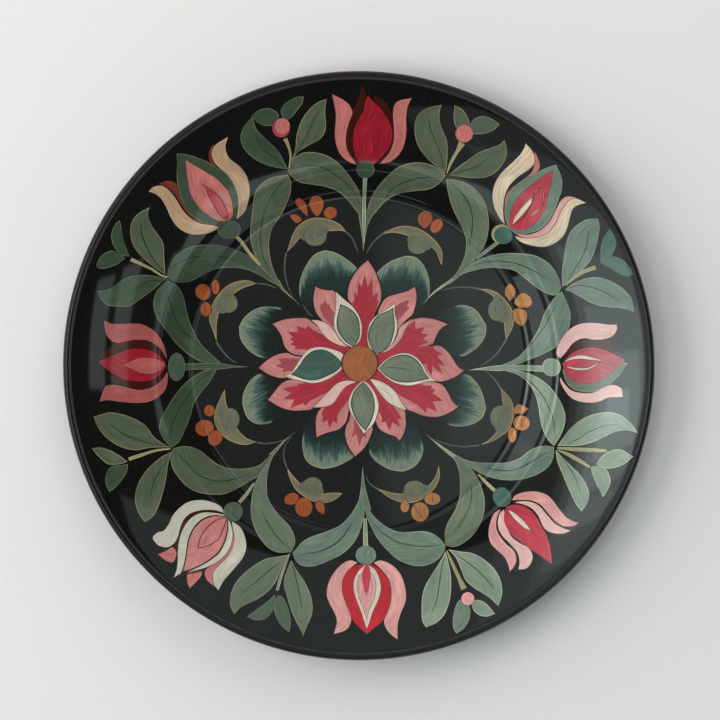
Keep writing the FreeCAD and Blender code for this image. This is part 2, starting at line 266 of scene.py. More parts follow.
PAINTING["sprig_north_west"] = [
    blade("sage_dark", (-36, 100), [(-43, 101), (-51, 104), (-57, 109), (-59.8, 115), (-58.5, 121)],
          (-53.7, 127), [(-51.8, 120.5), (-47, 115.5), (-41, 109.5), (-38, 104)]),
    blade("sage_dark", (-54.3, 127), [(-52, 124.5), (-48.5, 122.3), (-44, 122.2), (-41.5, 124)],
          (-40.3, 127.6), [(-42.5, 130), (-46, 131.2), (-50.5, 130.3)]),
    blade("sage_olive", (-35, 102.5), [(-32.3, 110), (-31.6, 117), (-29.5, 124), (-25.5, 130), (-21, 134)],
          (-16.3, 135.8), [(-17, 129), (-16.6, 123), (-17.3, 118.3), (-20.5, 114.5), (-25.5, 112),
            (-31, 108.3)]),
    line("ochre_pale", (-35.3, 100.5, 0.5), (-34.6, 107, 1.1), (-35.8, 112, 1.4), (-37.3, 115.5, 2.2)),
    blade("sage_dark", (-37.8, 125), [(-39.5, 129.5), (-37, 133.7), (-32, 136.7)],
          (-27.8, 137), [(-28.6, 133.5), (-31.5, 129.5), (-34.5, 126)]),
    dot("rose", -39.3, 121, 4.5, 4.9),
    dot("pink", -38.7, 121.9, 3.9, 4.2),
    line("vein", (-38, 101.5, 0.3), (-43, 106, 0.4), (-49, 111, 0.4), (-52, 116, 0.2)),
    line("vein", (-31.5, 108.5, 0.3), (-27, 116, 0.4), (-24, 122, 0.4), (-21, 129, 0.2)),
]

PAINTING["sprig_north_east"] = [
    blade("sage_olive", (43.5, 97.5), [(39, 101.5), (35, 105), (31, 110), (28.6, 116), (28.2, 122),
            (29.5, 127), (33, 130.5), (37.5, 132)],
          (41.8, 132.8), [(40.8, 129), (41, 124.5), (42.5, 119.5), (44.5, 115), (45, 109), (44.6, 102)]),
    blade("sage_olive", (45.5, 97), [(50, 101), (55, 104.5), (60, 108.3), (66, 110.7), (70.5, 112.3)],
          (73.8, 115), [(75, 109), (73.7, 104), (70.5, 99.5), (66, 96.4), (60, 95.3), (52, 96)]),
    line("ochre_pale", (44.6, 97.8, 0.6), (47, 104, 1.5), (50, 109.3, 1.9), (52.2, 113.4, 3.4)),
    blade("sage_olive", (52, 120), [(48.8, 122), (47.9, 127)],
          (48.3, 132.6), [(52, 130.8), (54.8, 127), (56, 122.5)]),
    blade("sage_olive", (56, 121), [(57.3, 124.7), (60.3, 126.9), (64, 127.1), (67.5, 125.7)],
          (71.2, 123), [(68, 119.8), (64, 118.3), (58, 118)]),
    dot("pink", 53.3, 118.2, 4.5, 4.6),
    line("vein", (43, 101, 0.3), (41.2, 108, 0.4), (38.5, 115, 0.4), (36, 121, 0.4), (35.3, 127, 0.2)),
    line("vein", (46.5, 97.5, 0.3), (53, 99.1, 0.4), (60, 101.6, 0.4), (66, 106, 0.2)),
]

PAINTING["spray_north_east"] = [
    blade("sage", (38, 36.5), [(47, 43.5), (51.5, 50), (54.2, 57), (54.2, 65), (51, 72.5), (47.3, 80.5),
            (45.2, 88)],
          (44.3, 94.8), [(48, 94.6), (53.5, 93.4), (59, 90), (63.5, 84), (65.9, 75), (65.3, 65), (62, 57),
            (56.5, 50.5), (49, 43)]),
    blade("sage_blue", (38, 36.5), [(49, 43.5), (55, 49.5), (60, 53), (66, 55.3), (72, 56.7), (80, 57.2),
            (88, 56.5), (94, 54), (98.5, 50), (101.5, 44.5)],
          (103, 40), [(101, 36.5), (98, 35.8), (94, 37.3), (89, 40.5), (84, 44.5), (79, 48), (73, 49),
            (66, 49.2), (59, 48), (51, 45)]),
    line("sage_pale", (32, 30, 0.2), (36, 34.6, 0.6), (41, 38.8, 1.2), (48, 43.5, 1.6)),
    line("sage_blue", (60, 54, 1.4), (65.5, 58.3, 1.8), (71, 62.8, 2)),
    line("vein", (56, 60, 0.2), (57.3, 67, 0.4), (57.7, 73, 0.4), (57, 79, 0.4), (54.5, 84.5, 0.5),
         (51, 89, 0.5), (46.5, 92.7, 0.2)),
    line("vein", (58, 50.5, 0.2), (66, 52.4, 0.4), (74, 52.7, 0.4), (81, 51.5, 0.4), (87, 49, 0.5),
         (93, 46, 0.2)),
]

PAINTING["sprig_east_north"] = [
    blade("sage_blue", (103.3, 40), [(103, 48), (104, 55), (105, 62), (107, 68), (111, 72.3), (115.5, 74.8)],
          (121, 75.3), [(122, 71), (121.3, 66), (120, 60), (117.5, 54), (113.5, 49), (109, 45)]),
    blade("sage_blue", (104.5, 38.7), [(108, 41.5), (113, 44), (119, 45.3), (125, 44.6), (131, 41.8),
            (135, 38.7), (138.3, 34.5)],
          (139.5, 27.8), [(135, 29.3), (130, 29.8), (124, 30.3), (118, 32), (113, 34.8), (108, 37.5)]),
    line("ochre_pale", (105, 41, 0.8), (110, 45.5, 1.5), (115, 48.5, 1.8), (120, 50.3, 2.2)),
    blade("teal", (122.5, 52.3), [(122.2, 58), (123, 63), (124.5, 66.8)],
          (127, 70.2), [(129.2, 67), (130.4, 63), (129.3, 58.7), (126.5, 54.5)]),
    blade("teal", (123, 52.3), [(127, 55.6), (131, 55.8), (135, 53.3), (137.5, 50)],
          (138.7, 47), [(136.5, 45.9), (132, 47), (128, 49.7)]),
    line("vein", (106, 43.5, 0.3), (110, 50, 0.4), (114, 57.5, 0.4), (116, 65, 0.4), (116.5, 70, 0.2)),
    line("vein", (107, 40, 0.3), (113, 41, 0.4), (120, 39.6, 0.4), (127, 36.6, 0.4), (133, 32.3, 0.2)),
]

PAINTING["spray_east"] = [
    blade("sage_blue", (70, -1.5), [(80, 3), (85, 8), (89, 14), (92, 20), (94, 26), (97, 31.5), (100, 35.5)],
          (103, 38), [(106.2, 31), (107.6, 25.5), (106.6, 19), (103.5, 13), (99, 8.5), (93, 5), (86, 2),
            (79, -0.5)]),
    blade("sage_pale", (70, -2.5), [(78, -2.8), (84, -3.8), (90, -6), (95, -9), (99, -13), (103, -19),
            (105, -25), (104.5, -31), (102.5, -36)],
          (99.5, -41), [(97, -39), (94, -34), (92.3, -28), (91.5, -22), (90, -16), (87, -10.5), (83, -6.5),
            (77, -4)]),
    line("sage_pale", (56, -3, 0.3), (63, -2.3, 1.4), (71, -2, 3), (78, -1.6, 2.4)),
    line("sage_pale", (76, -1.5, 2), (85, -1.8, 3), (94, -2, 3.2)),
    line("vein", (83, 6, 0.2), (89, 12, 0.4), (94, 19, 0.4), (97, 25, 0.4), (100.5, 31, 0.2)),
    line("vein", (82, -5, 0.2), (88, -9.5, 0.5), (93, -15, 0.5), (96.5, -21, 0.4), (99, -28, 0.4),
         (99.6, -35, 0.2)),
]

PAINTING["sprig_east_south"] = [
    blade("sage_pale", (101, -41), [(104.5, -36), (108, -31.5), (113, -27.5), (119, -24.7), (125, -23.5),
            (130, -23.7), (135, -26), (139, -29.8)],
          (142, -34), [(139, -33), (135, -32.5), (130, -33.5), (125, -36), (119, -38.8), (113, -40.5),
            (107, -41)]),
    blade("sage_pale", (100, -43), [(104, -47), (108, -51), (112, -54.8), (115, -59), (117, -64),
            (116.8, -68), (115.3, -71.3)],
          (113.2, -74), [(110.5, -70.5), (108, -65.5), (105.5, -60), (103, -54), (101, -49)]),
    line("ochre_pale", (101, -42, 0.8), (110, -42.6, 1.9), (120, -42.9, 1.9), (126, -43, 1.2)),
    line("ochre_pale", (101, -43, 0.6), (107, -45.5, 1.8), (112, -48.2, 1.9), (117.5, -51.5, 1)),
    blade("sage_pale", (120.5, -50), [(123.5, -45.8), (128, -42.9), (133.3, -42.2)],
          (139.3, -45.6), [(135.7, -49), (131, -51.3), (125.5, -52)]),
    blade("sage_pale", (118, -51.3), [(122, -50.8), (125.3, -52.2), (127.3, -55), (127.9, -59),
            (126.5, -62.8)],
          (124, -66.7), [(122, -62.5), (120, -58.5), (118.5, -54.5)]),
    line("vein", (106, -40, 0.2), (112, -37, 0.4), (117, -33.6, 0.4), (124, -30.6, 0.4), (132, -29.3, 0.2)),
    line("vein", (103, -46, 0.2), (107, -52, 0.4), (110.5, -58, 0.4), (113, -65, 0.2)),
]

PAINTING["spray_south_east"] = [
    blade("sage_blue", (41, -41.5), [(50, -46.5), (55, -49), (62, -50.3), (70, -50.4), (76, -50),
            (82, -47.5), (87, -43.5), (91, -41.6), (95.5, -41)],
          (99.3, -41.5), [(99, -46.5), (97, -51), (93, -54.5), (87, -57.2), (80, -58.8), (72, -58.8),
            (65, -57.3), (59, -54), (50, -48.5)]),
    blade("sage", (41, -41.5), [(52, -48), (57, -53), (61, -59), (63, -64), (64.3, -70), (63.5, -77),
            (61, -83), (57, -88), (52, -91.6), (48, -92.9)],
          (44.4, -92), [(43.7, -87), (45, -81.7), (48, -76.5), (50.5, -71), (51.6, -66), (51.5, -60),
            (50.8, -54), (48, -48)]),
    line("sage_pale", (34, -35.5, 0.2), (38, -39, 0.6), (43, -43, 1.4), (49, -47.5, 2)),
    line("ochre_pale", (61, -56.5, 0.8), (65.5, -61, 1.6), (70, -65, 1.8)),
    line("vein", (62, -52.5, 0.2), (70, -54, 0.5), (77, -54, 0.5), (83, -52, 0.4), (89, -48.5, 0.4),
         (96, -44, 0.2)),
    line("vein", (57, -60, 0.2), (57.5, -68, 0.4), (55.5, -75, 0.4), (52, -81, 0.4), (48.5, -85.5, 0.2)),
]

PAINTING["sprig_south_east"] = [
    blade("sage_pale", (45.5, -94), [(52, -95.1), (58, -95.9), (63.5, -98.8), (68.5, -103), (71.7, -108),
            (73, -113.5), (72.6, -118)],
          (71, -122.4), [(67.5, -119), (63, -116), (58, -113), (54, -109), (52, -104), (49.5, -98.5)]),
    blade("sage_pale", (44.3, -95), [(46, -102), (47, -108), (47, -115), (46, -121), (43.5, -127),
            (39.5, -131)],
          (34.3, -133.3), [(32.4, -130.5), (31.9, -125), (32.3, -118), (33.8, -112.5), (37, -107),
            (41, -101)]),
    line("ochre_pale", (44.8, -94.7, 0.6), (47.5, -101, 1.7), (51, -108.5, 1.9), (53.6, -114, 3)),
    blade("sage_blue", (53.5, -118), [(55.7, -121.5), (56.8, -125), (56, -129.7), (53.5, -133.7)],
          (49.7, -136.3), [(48.2, -134), (47.8, -130), (48.4, -125.5), (50.2, -120.8)]),
    blade("sage_pale", (57, -120.5), [(60, -119.3), (63.7, -120.3), (66.5, -122.8)],
          (69.2, -126.1), [(65.5, -127.6), (61.5, -127.1), (58.5, -124.7)]),
    dot("blush", 55.5, -118.8, 3.4, 3.3),
    line("vein", (50, -97, 0.3), (56, -101, 0.4), (61, -105, 0.4), (66, -110, 0.4), (69, -114, 0.2)),
    line("vein", (43.5, -98, 0.3), (42, -105, 0.4), (41, -112, 0.4), (39.5, -120, 0.4), (37, -126, 0.2)),
]

PAINTING["spray_south"] = [
    line("sage_blue", (2, -52, 0.2), (2, -57, 0.9), (2.2, -63, 2.4), (2.4, -69, 4.8), (2.6, -75, 7.5)),
    blade("sage_blue", (2, -62), [(4.5, -72), (7, -77), (11, -81), (16, -84.3), (21, -85.8), (27, -85.7),
            (33, -85.3), (38, -86.5), (42, -89.5)],
          (44.3, -92.3), [(43.5, -95.3), (40.5, -99), (36, -101.8), (31, -102.7), (26, -102), (20, -99.5),
            (14.5, -95), (10, -90), (6.5, -84), (3.5, -76)]),
    blade("sage_blue", (2, -62), [(2.8, -76), (1.7, -82), (-0.5, -88), (-4, -93), (-9, -97), (-15, -99.8),
            (-21, -102.3), (-26, -102.9), (-30, -102), (-32.8, -99)],
          (-33.6, -96), [(-31.5, -93.3), (-28.5, -90.3), (-24, -88), (-19, -86.5), (-13.5, -84.5), (-9, -82),
            (-5, -78), (-1.7, -73), (0.6, -68)]),
    line("sage_pale", (3.2, -79, 1.6), (3.3, -86, 2.3), (3.5, -93.5, 2.6)),
    line("vein", (8, -82, 0.2), (13, -87, 0.4), (19, -90.5, 0.4), (25, -92, 0.4), (33, -92.7, 0.4),
         (42, -91.7, 0.2)),
    line("vein", (-3.5, -81, 0.2), (-6, -85.5, 0.4), (-9.5, -89.7, 0.5), (-14, -93, 0.6), (-20, -95.3, 0.4),
         (-30, -96.7, 0.2)),
]

PAINTING["sprig_south_west"] = [
    blade("sage", (-35.5, -96.7), [(-39, -103), (-42, -110), (-46, -115), (-51.5, -119), (-57, -121.5),
            (-61, -123.7)],
          (-63.3, -126.4), [(-65.3, -123), (-65.6, -118), (-63.5, -112), (-59.5, -107), (-54, -102.5),
            (-48, -99), (-42, -97.8)]),
    blade("sage", (-34.5, -99.5), [(-31.5, -105), (-28, -110), (-25, -116), (-23.6, -122), (-24, -127.5),
            (-26.5, -133)],
          (-28.3, -138), [(-29.8, -134.5), (-31.7, -131), (-34.5, -125), (-36.5, -118.5), (-38.2, -112),
            (-37.2, -106)]),
    line("grey_pale", (-35.3, -96.5, 0.6), (-38.3, -104, 1.3), (-40.3, -110, 1.5), (-41.6, -114.8, 1.4)),
    blade("sheath", (-42.8, -116.8), [(-42.5, -121), (-44.5, -126), (-48, -129.2), (-52.5, -129.6)],
          (-57, -127.8), [(-52.5, -124.5), (-47.5, -121)]),
    blade("sheath", (-41.5, -117.3), [(-39, -118), (-36.5, -122.5), (-35, -128), (-34.8, -132.5)],
          (-35.4, -135.6), [(-39, -133), (-42, -128.5), (-43.2, -123.5)]),
    line("vein", (-40, -100.5, 0.3), (-46, -105, 0.4), (-52, -110, 0.4), (-57, -114, 0.3), (-61, -118, 0.2)),
    line("vein", (-33.5, -102, 0.3), (-32, -109, 0.5), (-30.5, -116, 0.4), (-29, -124, 0.2)),
]

PAINTING["tulip_north"] = [
    blade("maroon", (0.5, 102.5), [(-3.8, 105.7), (-6.7, 111), (-6.8, 117), (-5.3, 123), (-3.3, 129),
            (-0.8, 134), (0.6, 139)],
          (1.6, 143.5), [(3.2, 139), (4.5, 134), (2, 120), (2, 110)]),
    blade("maroon", (7, 103), [(9, 112), (9, 124), (7, 133)],
          (8, 137.8), [(12.7, 134.7), (16.2, 129.5), (17.8, 123), (18, 115.5), (15.3, 108.3),
            (11.5, 104.3)]),
    blade("pink", (-0.6, 101.8), [(-6, 104.2), (-9.6, 107.7), (-11.4, 112), (-12.2, 117), (-11.9, 122),
            (-11.7, 128), (-12.5, 133)],
          (-13.6, 138.2), [(-8.5, 135.8), (-5, 133), (-3.2, 129.5), (-3.7, 127), (-5.2, 123), (-6.3, 118.5),
            (-6.6, 113.5), (-5.6, 109.3), (-3.5, 105.8)]),
    blade("pink", (10.5, 102.6), [(14, 106.5), (16.5, 110.5), (17.8, 116), (17.6, 122), (17.2, 128),
            (17.9, 132.5), (20.5, 135)],
          (26.8, 136.3), [(24.8, 132), (24, 127), (24, 119), (23, 112.5), (20.5, 107.5), (16, 103.7)]),
    blade("red", (4, 102), [(-0.5, 104.5), (-2.4, 109), (-3, 115), (-2.2, 121), (0.3, 126), (2.6, 130.5),
            (3.3, 134.5)],
          (4.7, 137.7), [(7, 134.5), (11, 131), (14.7, 125.5), (16.8, 120), (16.8, 115), (14.8, 110),
            (11.5, 106), (8.5, 103)]),
    blade("red", (4, 103.5), [(2, 107.5), (2.1, 112.5), (3, 116.5)],
          (4.5, 119.5), [(6.7, 115.5), (7.3, 110), (6, 105.5)]),
    dot("sage_dark", 3.3, 99.7, 4.6, 4.5),
]

PAINTING["tulip_south"] = [
    blade("blush", (-0.5, -101), [(-4, -103.5), (-7.5, -108), (-8.7, -114), (-7.2, -120), (-4.8, -126),
            (-3.9, -130.5), (-6.5, -134.8)],
          (-12.7, -136.8), [(-11.2, -130.5), (-12.5, -126), (-15, -121.5), (-16.4, -117), (-15.6, -111.5),
            (-13, -106.5), (-9, -102), (-4.5, -99.8)]),
    blade("blush", (7.5, -101), [(11, -99.8), (16, -101.5), (20, -105), (22.7, -110), (24, -116),
            (23.8, -120.5), (21.5, -126), (20, -131), (19.7, -136)],
          (19.8, -139.5), [(17.2, -137.7), (14.5, -135), (12.8, -131), (13.8, -127.5), (16, -122),
            (16.6, -116), (15.5, -110), (12, -105)]),
    blade("scarlet", (4, -101), [(8, -102.5), (11.5, -105), (15, -109.5), (16.3, -115), (16.2, -121),
            (14.5, -126), (12.3, -130), (8, -133.7)],
          (4.3, -136.8), [(0.5, -133.7), (-3.3, -129.5), (-5.2, -125), (-7, -120), (-8.6, -114),
            (-7.9, -108.5), (-4, -103.5)]),
    blade("white", (3.5, -101.7), [(7.8, -104), (10.3, -108.5), (11.3, -114), (10, -119.5), (7, -126),
            (5.5, -131)],
          (4, -134.5), [(2.8, -131), (1, -125.5), (-1.2, -120), (-2.7, -114.5), (-2.4, -109.5), (0, -105)]),
    blade("blush", (3.6, -104), [(7, -107), (8.7, -112), (8, -118), (5.5, -124)],
          (4, -129.5), [(2.3, -124), (0, -118), (-1, -112.5), (0.5, -107)]),
    blade("rose_red", (3.6, -101.5), [(5.3, -103.5), (5.8, -107.5), (5.2, -112.5)],
          (3.8, -117.3), [(2.5, -113), (1.8, -109), (2.2, -105)]),
    dot("sage_blue", 3.6, -97.3, 5.2, 4.6),
]

PAINTING["tulip_south_east"] = [
    blade("blush", (78, -69), [(79.5, -66.5), (84, -64.7), (90, -64.3), (95.5, -65.8), (99, -69), (102, -73),
            (105.5, -77), (109, -79)],
          (111.8, -79.8), [(109, -81.5), (104, -81.6), (100, -79.3), (96, -74.9), (92.5, -71), (88, -69),
            (83, -68.7)]),
    blade("shell", (77.8, -70.2), [(83, -69.2), (88, -69.6), (92, -71.6), (95.5, -75.5), (99.5, -80),
            (104, -82.5)],
          (108, -83.8), [(104.5, -85.3), (100, -85.5), (96, -84.3), (93.5, -81.5), (91.5, -77), (88, -73),
            (83, -70.8)]),
    blade("blush", (72.8, -73), [(70.6, -77), (70, -82), (71.5, -86.5), (75, -91), (79, -94.5), (80.3, -99),
            (79, -102.5)],
          (76.8, -105), [(76, -101.5), (74, -97.5), (70, -94), (67, -90.5), (66, -86), (67, -80),
            (69, -75.5)]),
    blade("shell", (74, -73.3), [(74.7, -78), (75.7, -83), (78, -87.5), (82, -90.5), (86, -92.5),
            (88.4, -96), (88, -100), (85.3, -103.3)],
          (81.2, -103.9), [(81.7, -99.5), (80.5, -95), (76.5, -90.5), (72.3, -86), (70.7, -81),
            (71.5, -76)]),
    blade("rose_red", (75, -72.3), [(79, -71), (84, -71.8), (88, -74.3), (91, -78), (93, -82), (95.5, -86),
            (97.3, -92)],
          (98.5, -101), [(95.5, -99), (92, -96.5), (88, -94), (84, -91), (79, -87.5), (75.5, -83),
            (73.9, -78)]),
    blade("white", (75.5, -73.5), [(79, -75), (83, -78.3), (86, -81.7)],
          (87.6, -84.2), [(84.5, -83), (81, -80.2), (78, -77)]),
    dot("teal", 73, -67.5, 4.7, 5, 20),
]

PAINTING["halo"] = [
    blade("pine", (-14, 25), [(-25.5, 25), (-29, 31), (-30.3, 37), (-29.6, 44), (-26.5, 51), (-22.5, 56)],
          (-17.5, 58.2), [(-12, 57), (-6.5, 53.8), (-1, 49), (2, 42), (0, 32)]),
    blade("pine", (17, 25), [(6, 40), (8, 45), (12, 49.5), (17, 53)],
          (24, 55.4), [(29, 54.6), (33, 50.5), (35.3, 45), (36, 39.5), (35, 33), (30, 26)]),
    blade("pine", (38, 14), [(40, 25), (46, 28.5), (50, 30), (55, 30), (60, 27.3)],
          (64.9, 20), [(64.5, 15), (61.5, 9.8), (57, 6.2), (52, 4), (45, 6)]),
    blade("pine", (42, -14), [(50, -6), (55.5, -5.5), (60, -9.5), (63, -15)],
          (64.8, -22.5), [(63.2, -27), (59.5, -30), (54, -31.6), (48, -31.5), (43, -29), (38, -24)]),
    blade("pine", (17, -26), [(24.5, -26.5), (28.5, -31), (31.5, -37.5), (32.8, -44), (31, -49.5),
            (27.5, -53)],
          (22.5, -55), [(17, -54.3), (12, -52), (8, -49), (5.5, -45), (6, -38), (10, -30)]),
    blade("pine", (-16, -26), [(-3, -38), (-1, -43), (-3, -47.5), (-7, -50.2), (-12, -52.5)],
          (-18, -53.6), [(-23.5, -52), (-27.3, -48.5), (-28.8, -42), (-28.3, -35), (-26, -28), (-22, -25)]),
    blade("pine", (-44, -14), [(-40, -25), (-44, -29.3), (-49.5, -30.7), (-54, -29.7), (-57.5, -26.3)],
          (-59.3, -20.5), [(-59, -15.5), (-57, -10.8), (-54, -7), (-50, -5), (-46, -8)]),
    blade("pine", (-42, 12), [(-44, 4), (-49, 3.3), (-54, 5.5), (-58, 9.3), (-60.5, 13.8)],
          (-61, 19), [(-59, 23), (-55, 26.8), (-50, 29.1), (-44, 29.3), (-39, 28), (-37, 22)]),
]

PAINTING["curls"] = [
    line("hair", (-52, 41.2, 0.9), (-47, 40.8, 0.6), (-41, 38.5, 0.2)),
    line("hair", (-72.5, 11.5, 1), (-70, 7.5, 0.8), (-66, 3, 0.6), (-62, 0.5, 0.2)),
    line("hair", (-51.9, -40, 0.9), (-47.4, -40.7, 0.6), (-41.8, -39.8, 0.5), (-34, -37.5, 0.2)),
    line("hair", (-37, 57, 0.9), (-37.8, 50, 0.6), (-36.8, 42, 0.5), (-33.5, 34, 0.2)),
    line("hair", (-6.8, 67.8, 0.9), (-3.8, 65, 0.7), (-1.5, 60, 0.5), (-0.5, 57.5, 0.2)),
    line("hair", (3.8, 56.6, 0.2), (6, 60.5, 0.6), (10, 65, 0.8), (14.5, 68.3, 1)),
    line("hair", (42, 38, 0.2), (50, 39.3, 0.5), (57, 39.2, 0.7), (62.5, 38.2, 1)),
    line("hair", (75.2, 13, 1), (73, 9.3, 0.8), (69, 4, 0.6), (62, -1, 0.2)),
    line("hair", (65, -3.5, 0.2), (69, -7.5, 0.6), (72.5, -12.5, 1)),
    line("hair", (61.5, -41.5, 0.9), (53, -42.2, 0.6), (45, -41, 0.5), (39, -38.5, 0.2)),
    line("hair", (3.5, -57, 0.2), (5, -60.5, 0.5), (8.5, -63.3, 0.8), (12, -65.2, 1.2)),
    line("hair", (-36.8, -53, 0.8), (-38.3, -48, 0.6), (-38, -43, 0.4), (-35, -37.5, 0.2)),
    line("hair", (-28.5, 30.5, 0.3), (-25.5, 26, 0.5), (-23, 24, 0.2)),
    blade("olive_light", (-52, 41.3), [(-56, 39.9), (-59.5, 38.7), (-63.5, 36), (-68.5, 31.5), (-71, 27),
            (-72.2, 22), (-72.5, 17)],
          (-72.5, 11.5), [(-74.3, 17), (-76.2, 23), (-75, 29.5), (-71.8, 35.3), (-67.5, 39.8), (-62.5, 42.2),
            (-57, 43)]),
    *lobe(-66.6, 31.2, 5, 5),
    blade("olive_light", (-68.3, -12.6), [(-70.5, -17), (-72.7, -22), (-73.8, -27), (-73, -31.5),
            (-70.5, -35.5), (-67, -38.5), (-62.5, -40.5), (-57.5, -41.3)],
          (-52, -39.8), [(-56.5, -38.2), (-60, -35.5), (-62.5, -32), (-64.5, -28), (-66.5, -23.5),
            (-68, -18)]),
    *lobe(-65.6, -28, 4.8, 5.6),
    blade("olive_light", (-36.8, 57), [(-35.4, 61.2), (-33.8, 66), (-31.5, 70), (-28, 72.9), (-24, 74.6),
            (-19.5, 74.8), (-15, 74), (-11, 72.3), (-8.5, 70.5)],
          (-6.6, 67.7), [(-10.5, 68.3), (-14, 68), (-18, 68.3), (-22.5, 68.5), (-27, 66.5), (-30.5, 63.8),
            (-33.5, 60.2)]),
    *lobe(-22.2, 65.6, 5.9, 5.3),
    blade("olive_light", (11.5, 66), [(14.5, 68), (18.5, 69.9), (23, 70.7), (28, 70.2), (33, 68), (37, 65),
            (40.5, 61.3), (42.5, 57)],
          (42.2, 50.3), [(40.6, 54), (39.3, 57.3), (36, 60.5), (31, 62.8), (26, 65), (21, 66.7),
            (16, 67.2)]),
    *lobe(30, 60.8, 5.2, 4.6),
    blade("olive_light", (61.5, 38.4), [(66, 38.4), (71, 36.2), (75, 32.5), (78, 28), (79, 23.5),
            (78.3, 18.5)],
          (75, 12.5), [(74.3, 17), (73.8, 22), (72.8, 27), (71, 31), (69, 34), (66, 36.3)]),
    *lobe(70.3, 27.6, 4.6, 5.6),
    blade("olive_light", (72.2, -12), [(75, -14.8), (78, -19), (79, -24), (78.5, -29), (76.5, -33.5),
            (72.5, -37), (67.5, -39.8)],
          (61.5, -41.5), [(66, -38.9), (69, -36), (71.7, -32.5), (73.4, -28), (73.8, -23), (73, -18)]),
    *lobe(71.6, -27.2, 4.7, 6),
    blade("olive_light", (40.7, -51), [(40.2, -54.5), (38.8, -58), (36.5, -61), (33, -64), (28, -66),
            (22.5, -66.4), (17, -65.8)],
          (9.5, -63.8), [(14.5, -67.8), (19, -70), (24, -71.1), (29, -70.6), (33.5, -68.5), (37, -65.5),
            (39.8, -62), (41.4, -57)]),
    *lobe(28.4, -63.6, 5.4, 4),
    blade("olive_light", (-36.6, -52.8), [(-34.5, -56), (-31.3, -59.7), (-27.5, -63), (-23, -65.6),
            (-18.5, -66.3), (-14, -65.8)],
          (-8.3, -65.9), [(-11, -68.7), (-14.5, -70.5), (-19, -71.2), (-24, -70), (-28.5, -67.5),
            (-31.7, -64.8), (-34.2, -61), (-35.9, -56.7)]),
    *lobe(-23.6, -62.4, 5.1, 4.6),
]

PAINTING["berries"] = [
    *berry("orange", -72.9, 39.4, 2.1, 3.8),
    *berry("orange", -79.3, 37, 3.9, 4.3, 25),
    *berry("orange", -77.9, 28.1, 2.9, 3.7),
    *berry("orange", -76.2, -23.7, 2.8, 3),
    *berry("orange", -78.7, -32.6, 4.8, 4.2),
    *berry("orange", -73.3, -37.8, 3.6, 4.2, -35),
    blade("orange", (-25.9, 75), [(-29, 78), (-32, 81.5), (-32.2, 84)],
          (-30.6, 85), [(-28, 83.5), (-26.2, 80)]),
    blade("orange", (-28.6, 74), [(-31.3, 72), (-33.8, 73.7)], (-35.5, 76.4), [(-32, 76.6)]),
    blade("orange", (-21.2, 75), [(-24.2, 78.5), (-25.4, 82.5), (-23.5, 85.6)],
          (-21.3, 86), [(-18.8, 85), (-17.8, 81.5), (-18.8, 78)]),
    *berry("orange", -14.5, 77.3, 3.5, 3.1, 15),
    blade("orange", (33.4, 69), [(30.5, 72), (30, 75.3), (32, 77.7)],
          (34.2, 78.3), [(36.8, 77), (37.6, 74), (35.8, 71)]),
    *berry("orange", 39.5, 70.7, 2.9, 4, -35),
    blade("amber", (77, 32), [(74.4, 35.5), (74.6, 39)], (77, 41.6), [(79.5, 38.8), (79.4, 35.5)]),
    blade("amber", (78.8, 31.2), [(81, 35.2), (84, 36.7)],
          (87.2, 34.8), [(88.2, 31.5), (86, 29.2), (82, 29)]),
    blade("amber", (82.7, 19.3), [(79.5, 21.7), (78.3, 25), (79, 28.2)],
          (82, 28.5), [(85.2, 27.5), (86, 24.5), (85, 21.5)]),
    blade("amber", (79.3, -25.5), [(79.3, -22.5), (81.5, -20.3)], (86.5, -22.6), [(84, -25)]),
    *berry("amber", 83, -30, 4.3, 3.8),
    *berry("amber", 78.2, -36.2, 2.3, 4),
    *berry("amber", 37.5, -69, 4.3, 3.2),
    *berry("amber", 31.2, -75.7, 4.6, 5),
    *berry("amber", 23.5, -73, 2.4, 3),
    line("white", (28.2, -71.5, 0.2), (30, -75.5, 0.6), (33.5, -79.8, 0.2)),
    *berry("orange", -34.3, -69, 4, 3, 20),
    *berry("orange", -28.1, -73.3, 4.5, 5),
    blade("orange", (-22, -70.5), [(-22.3, -73), (-20.5, -75.8)],
          (-17.8, -77), [(-17.3, -73), (-19.5, -70.3)]),
]

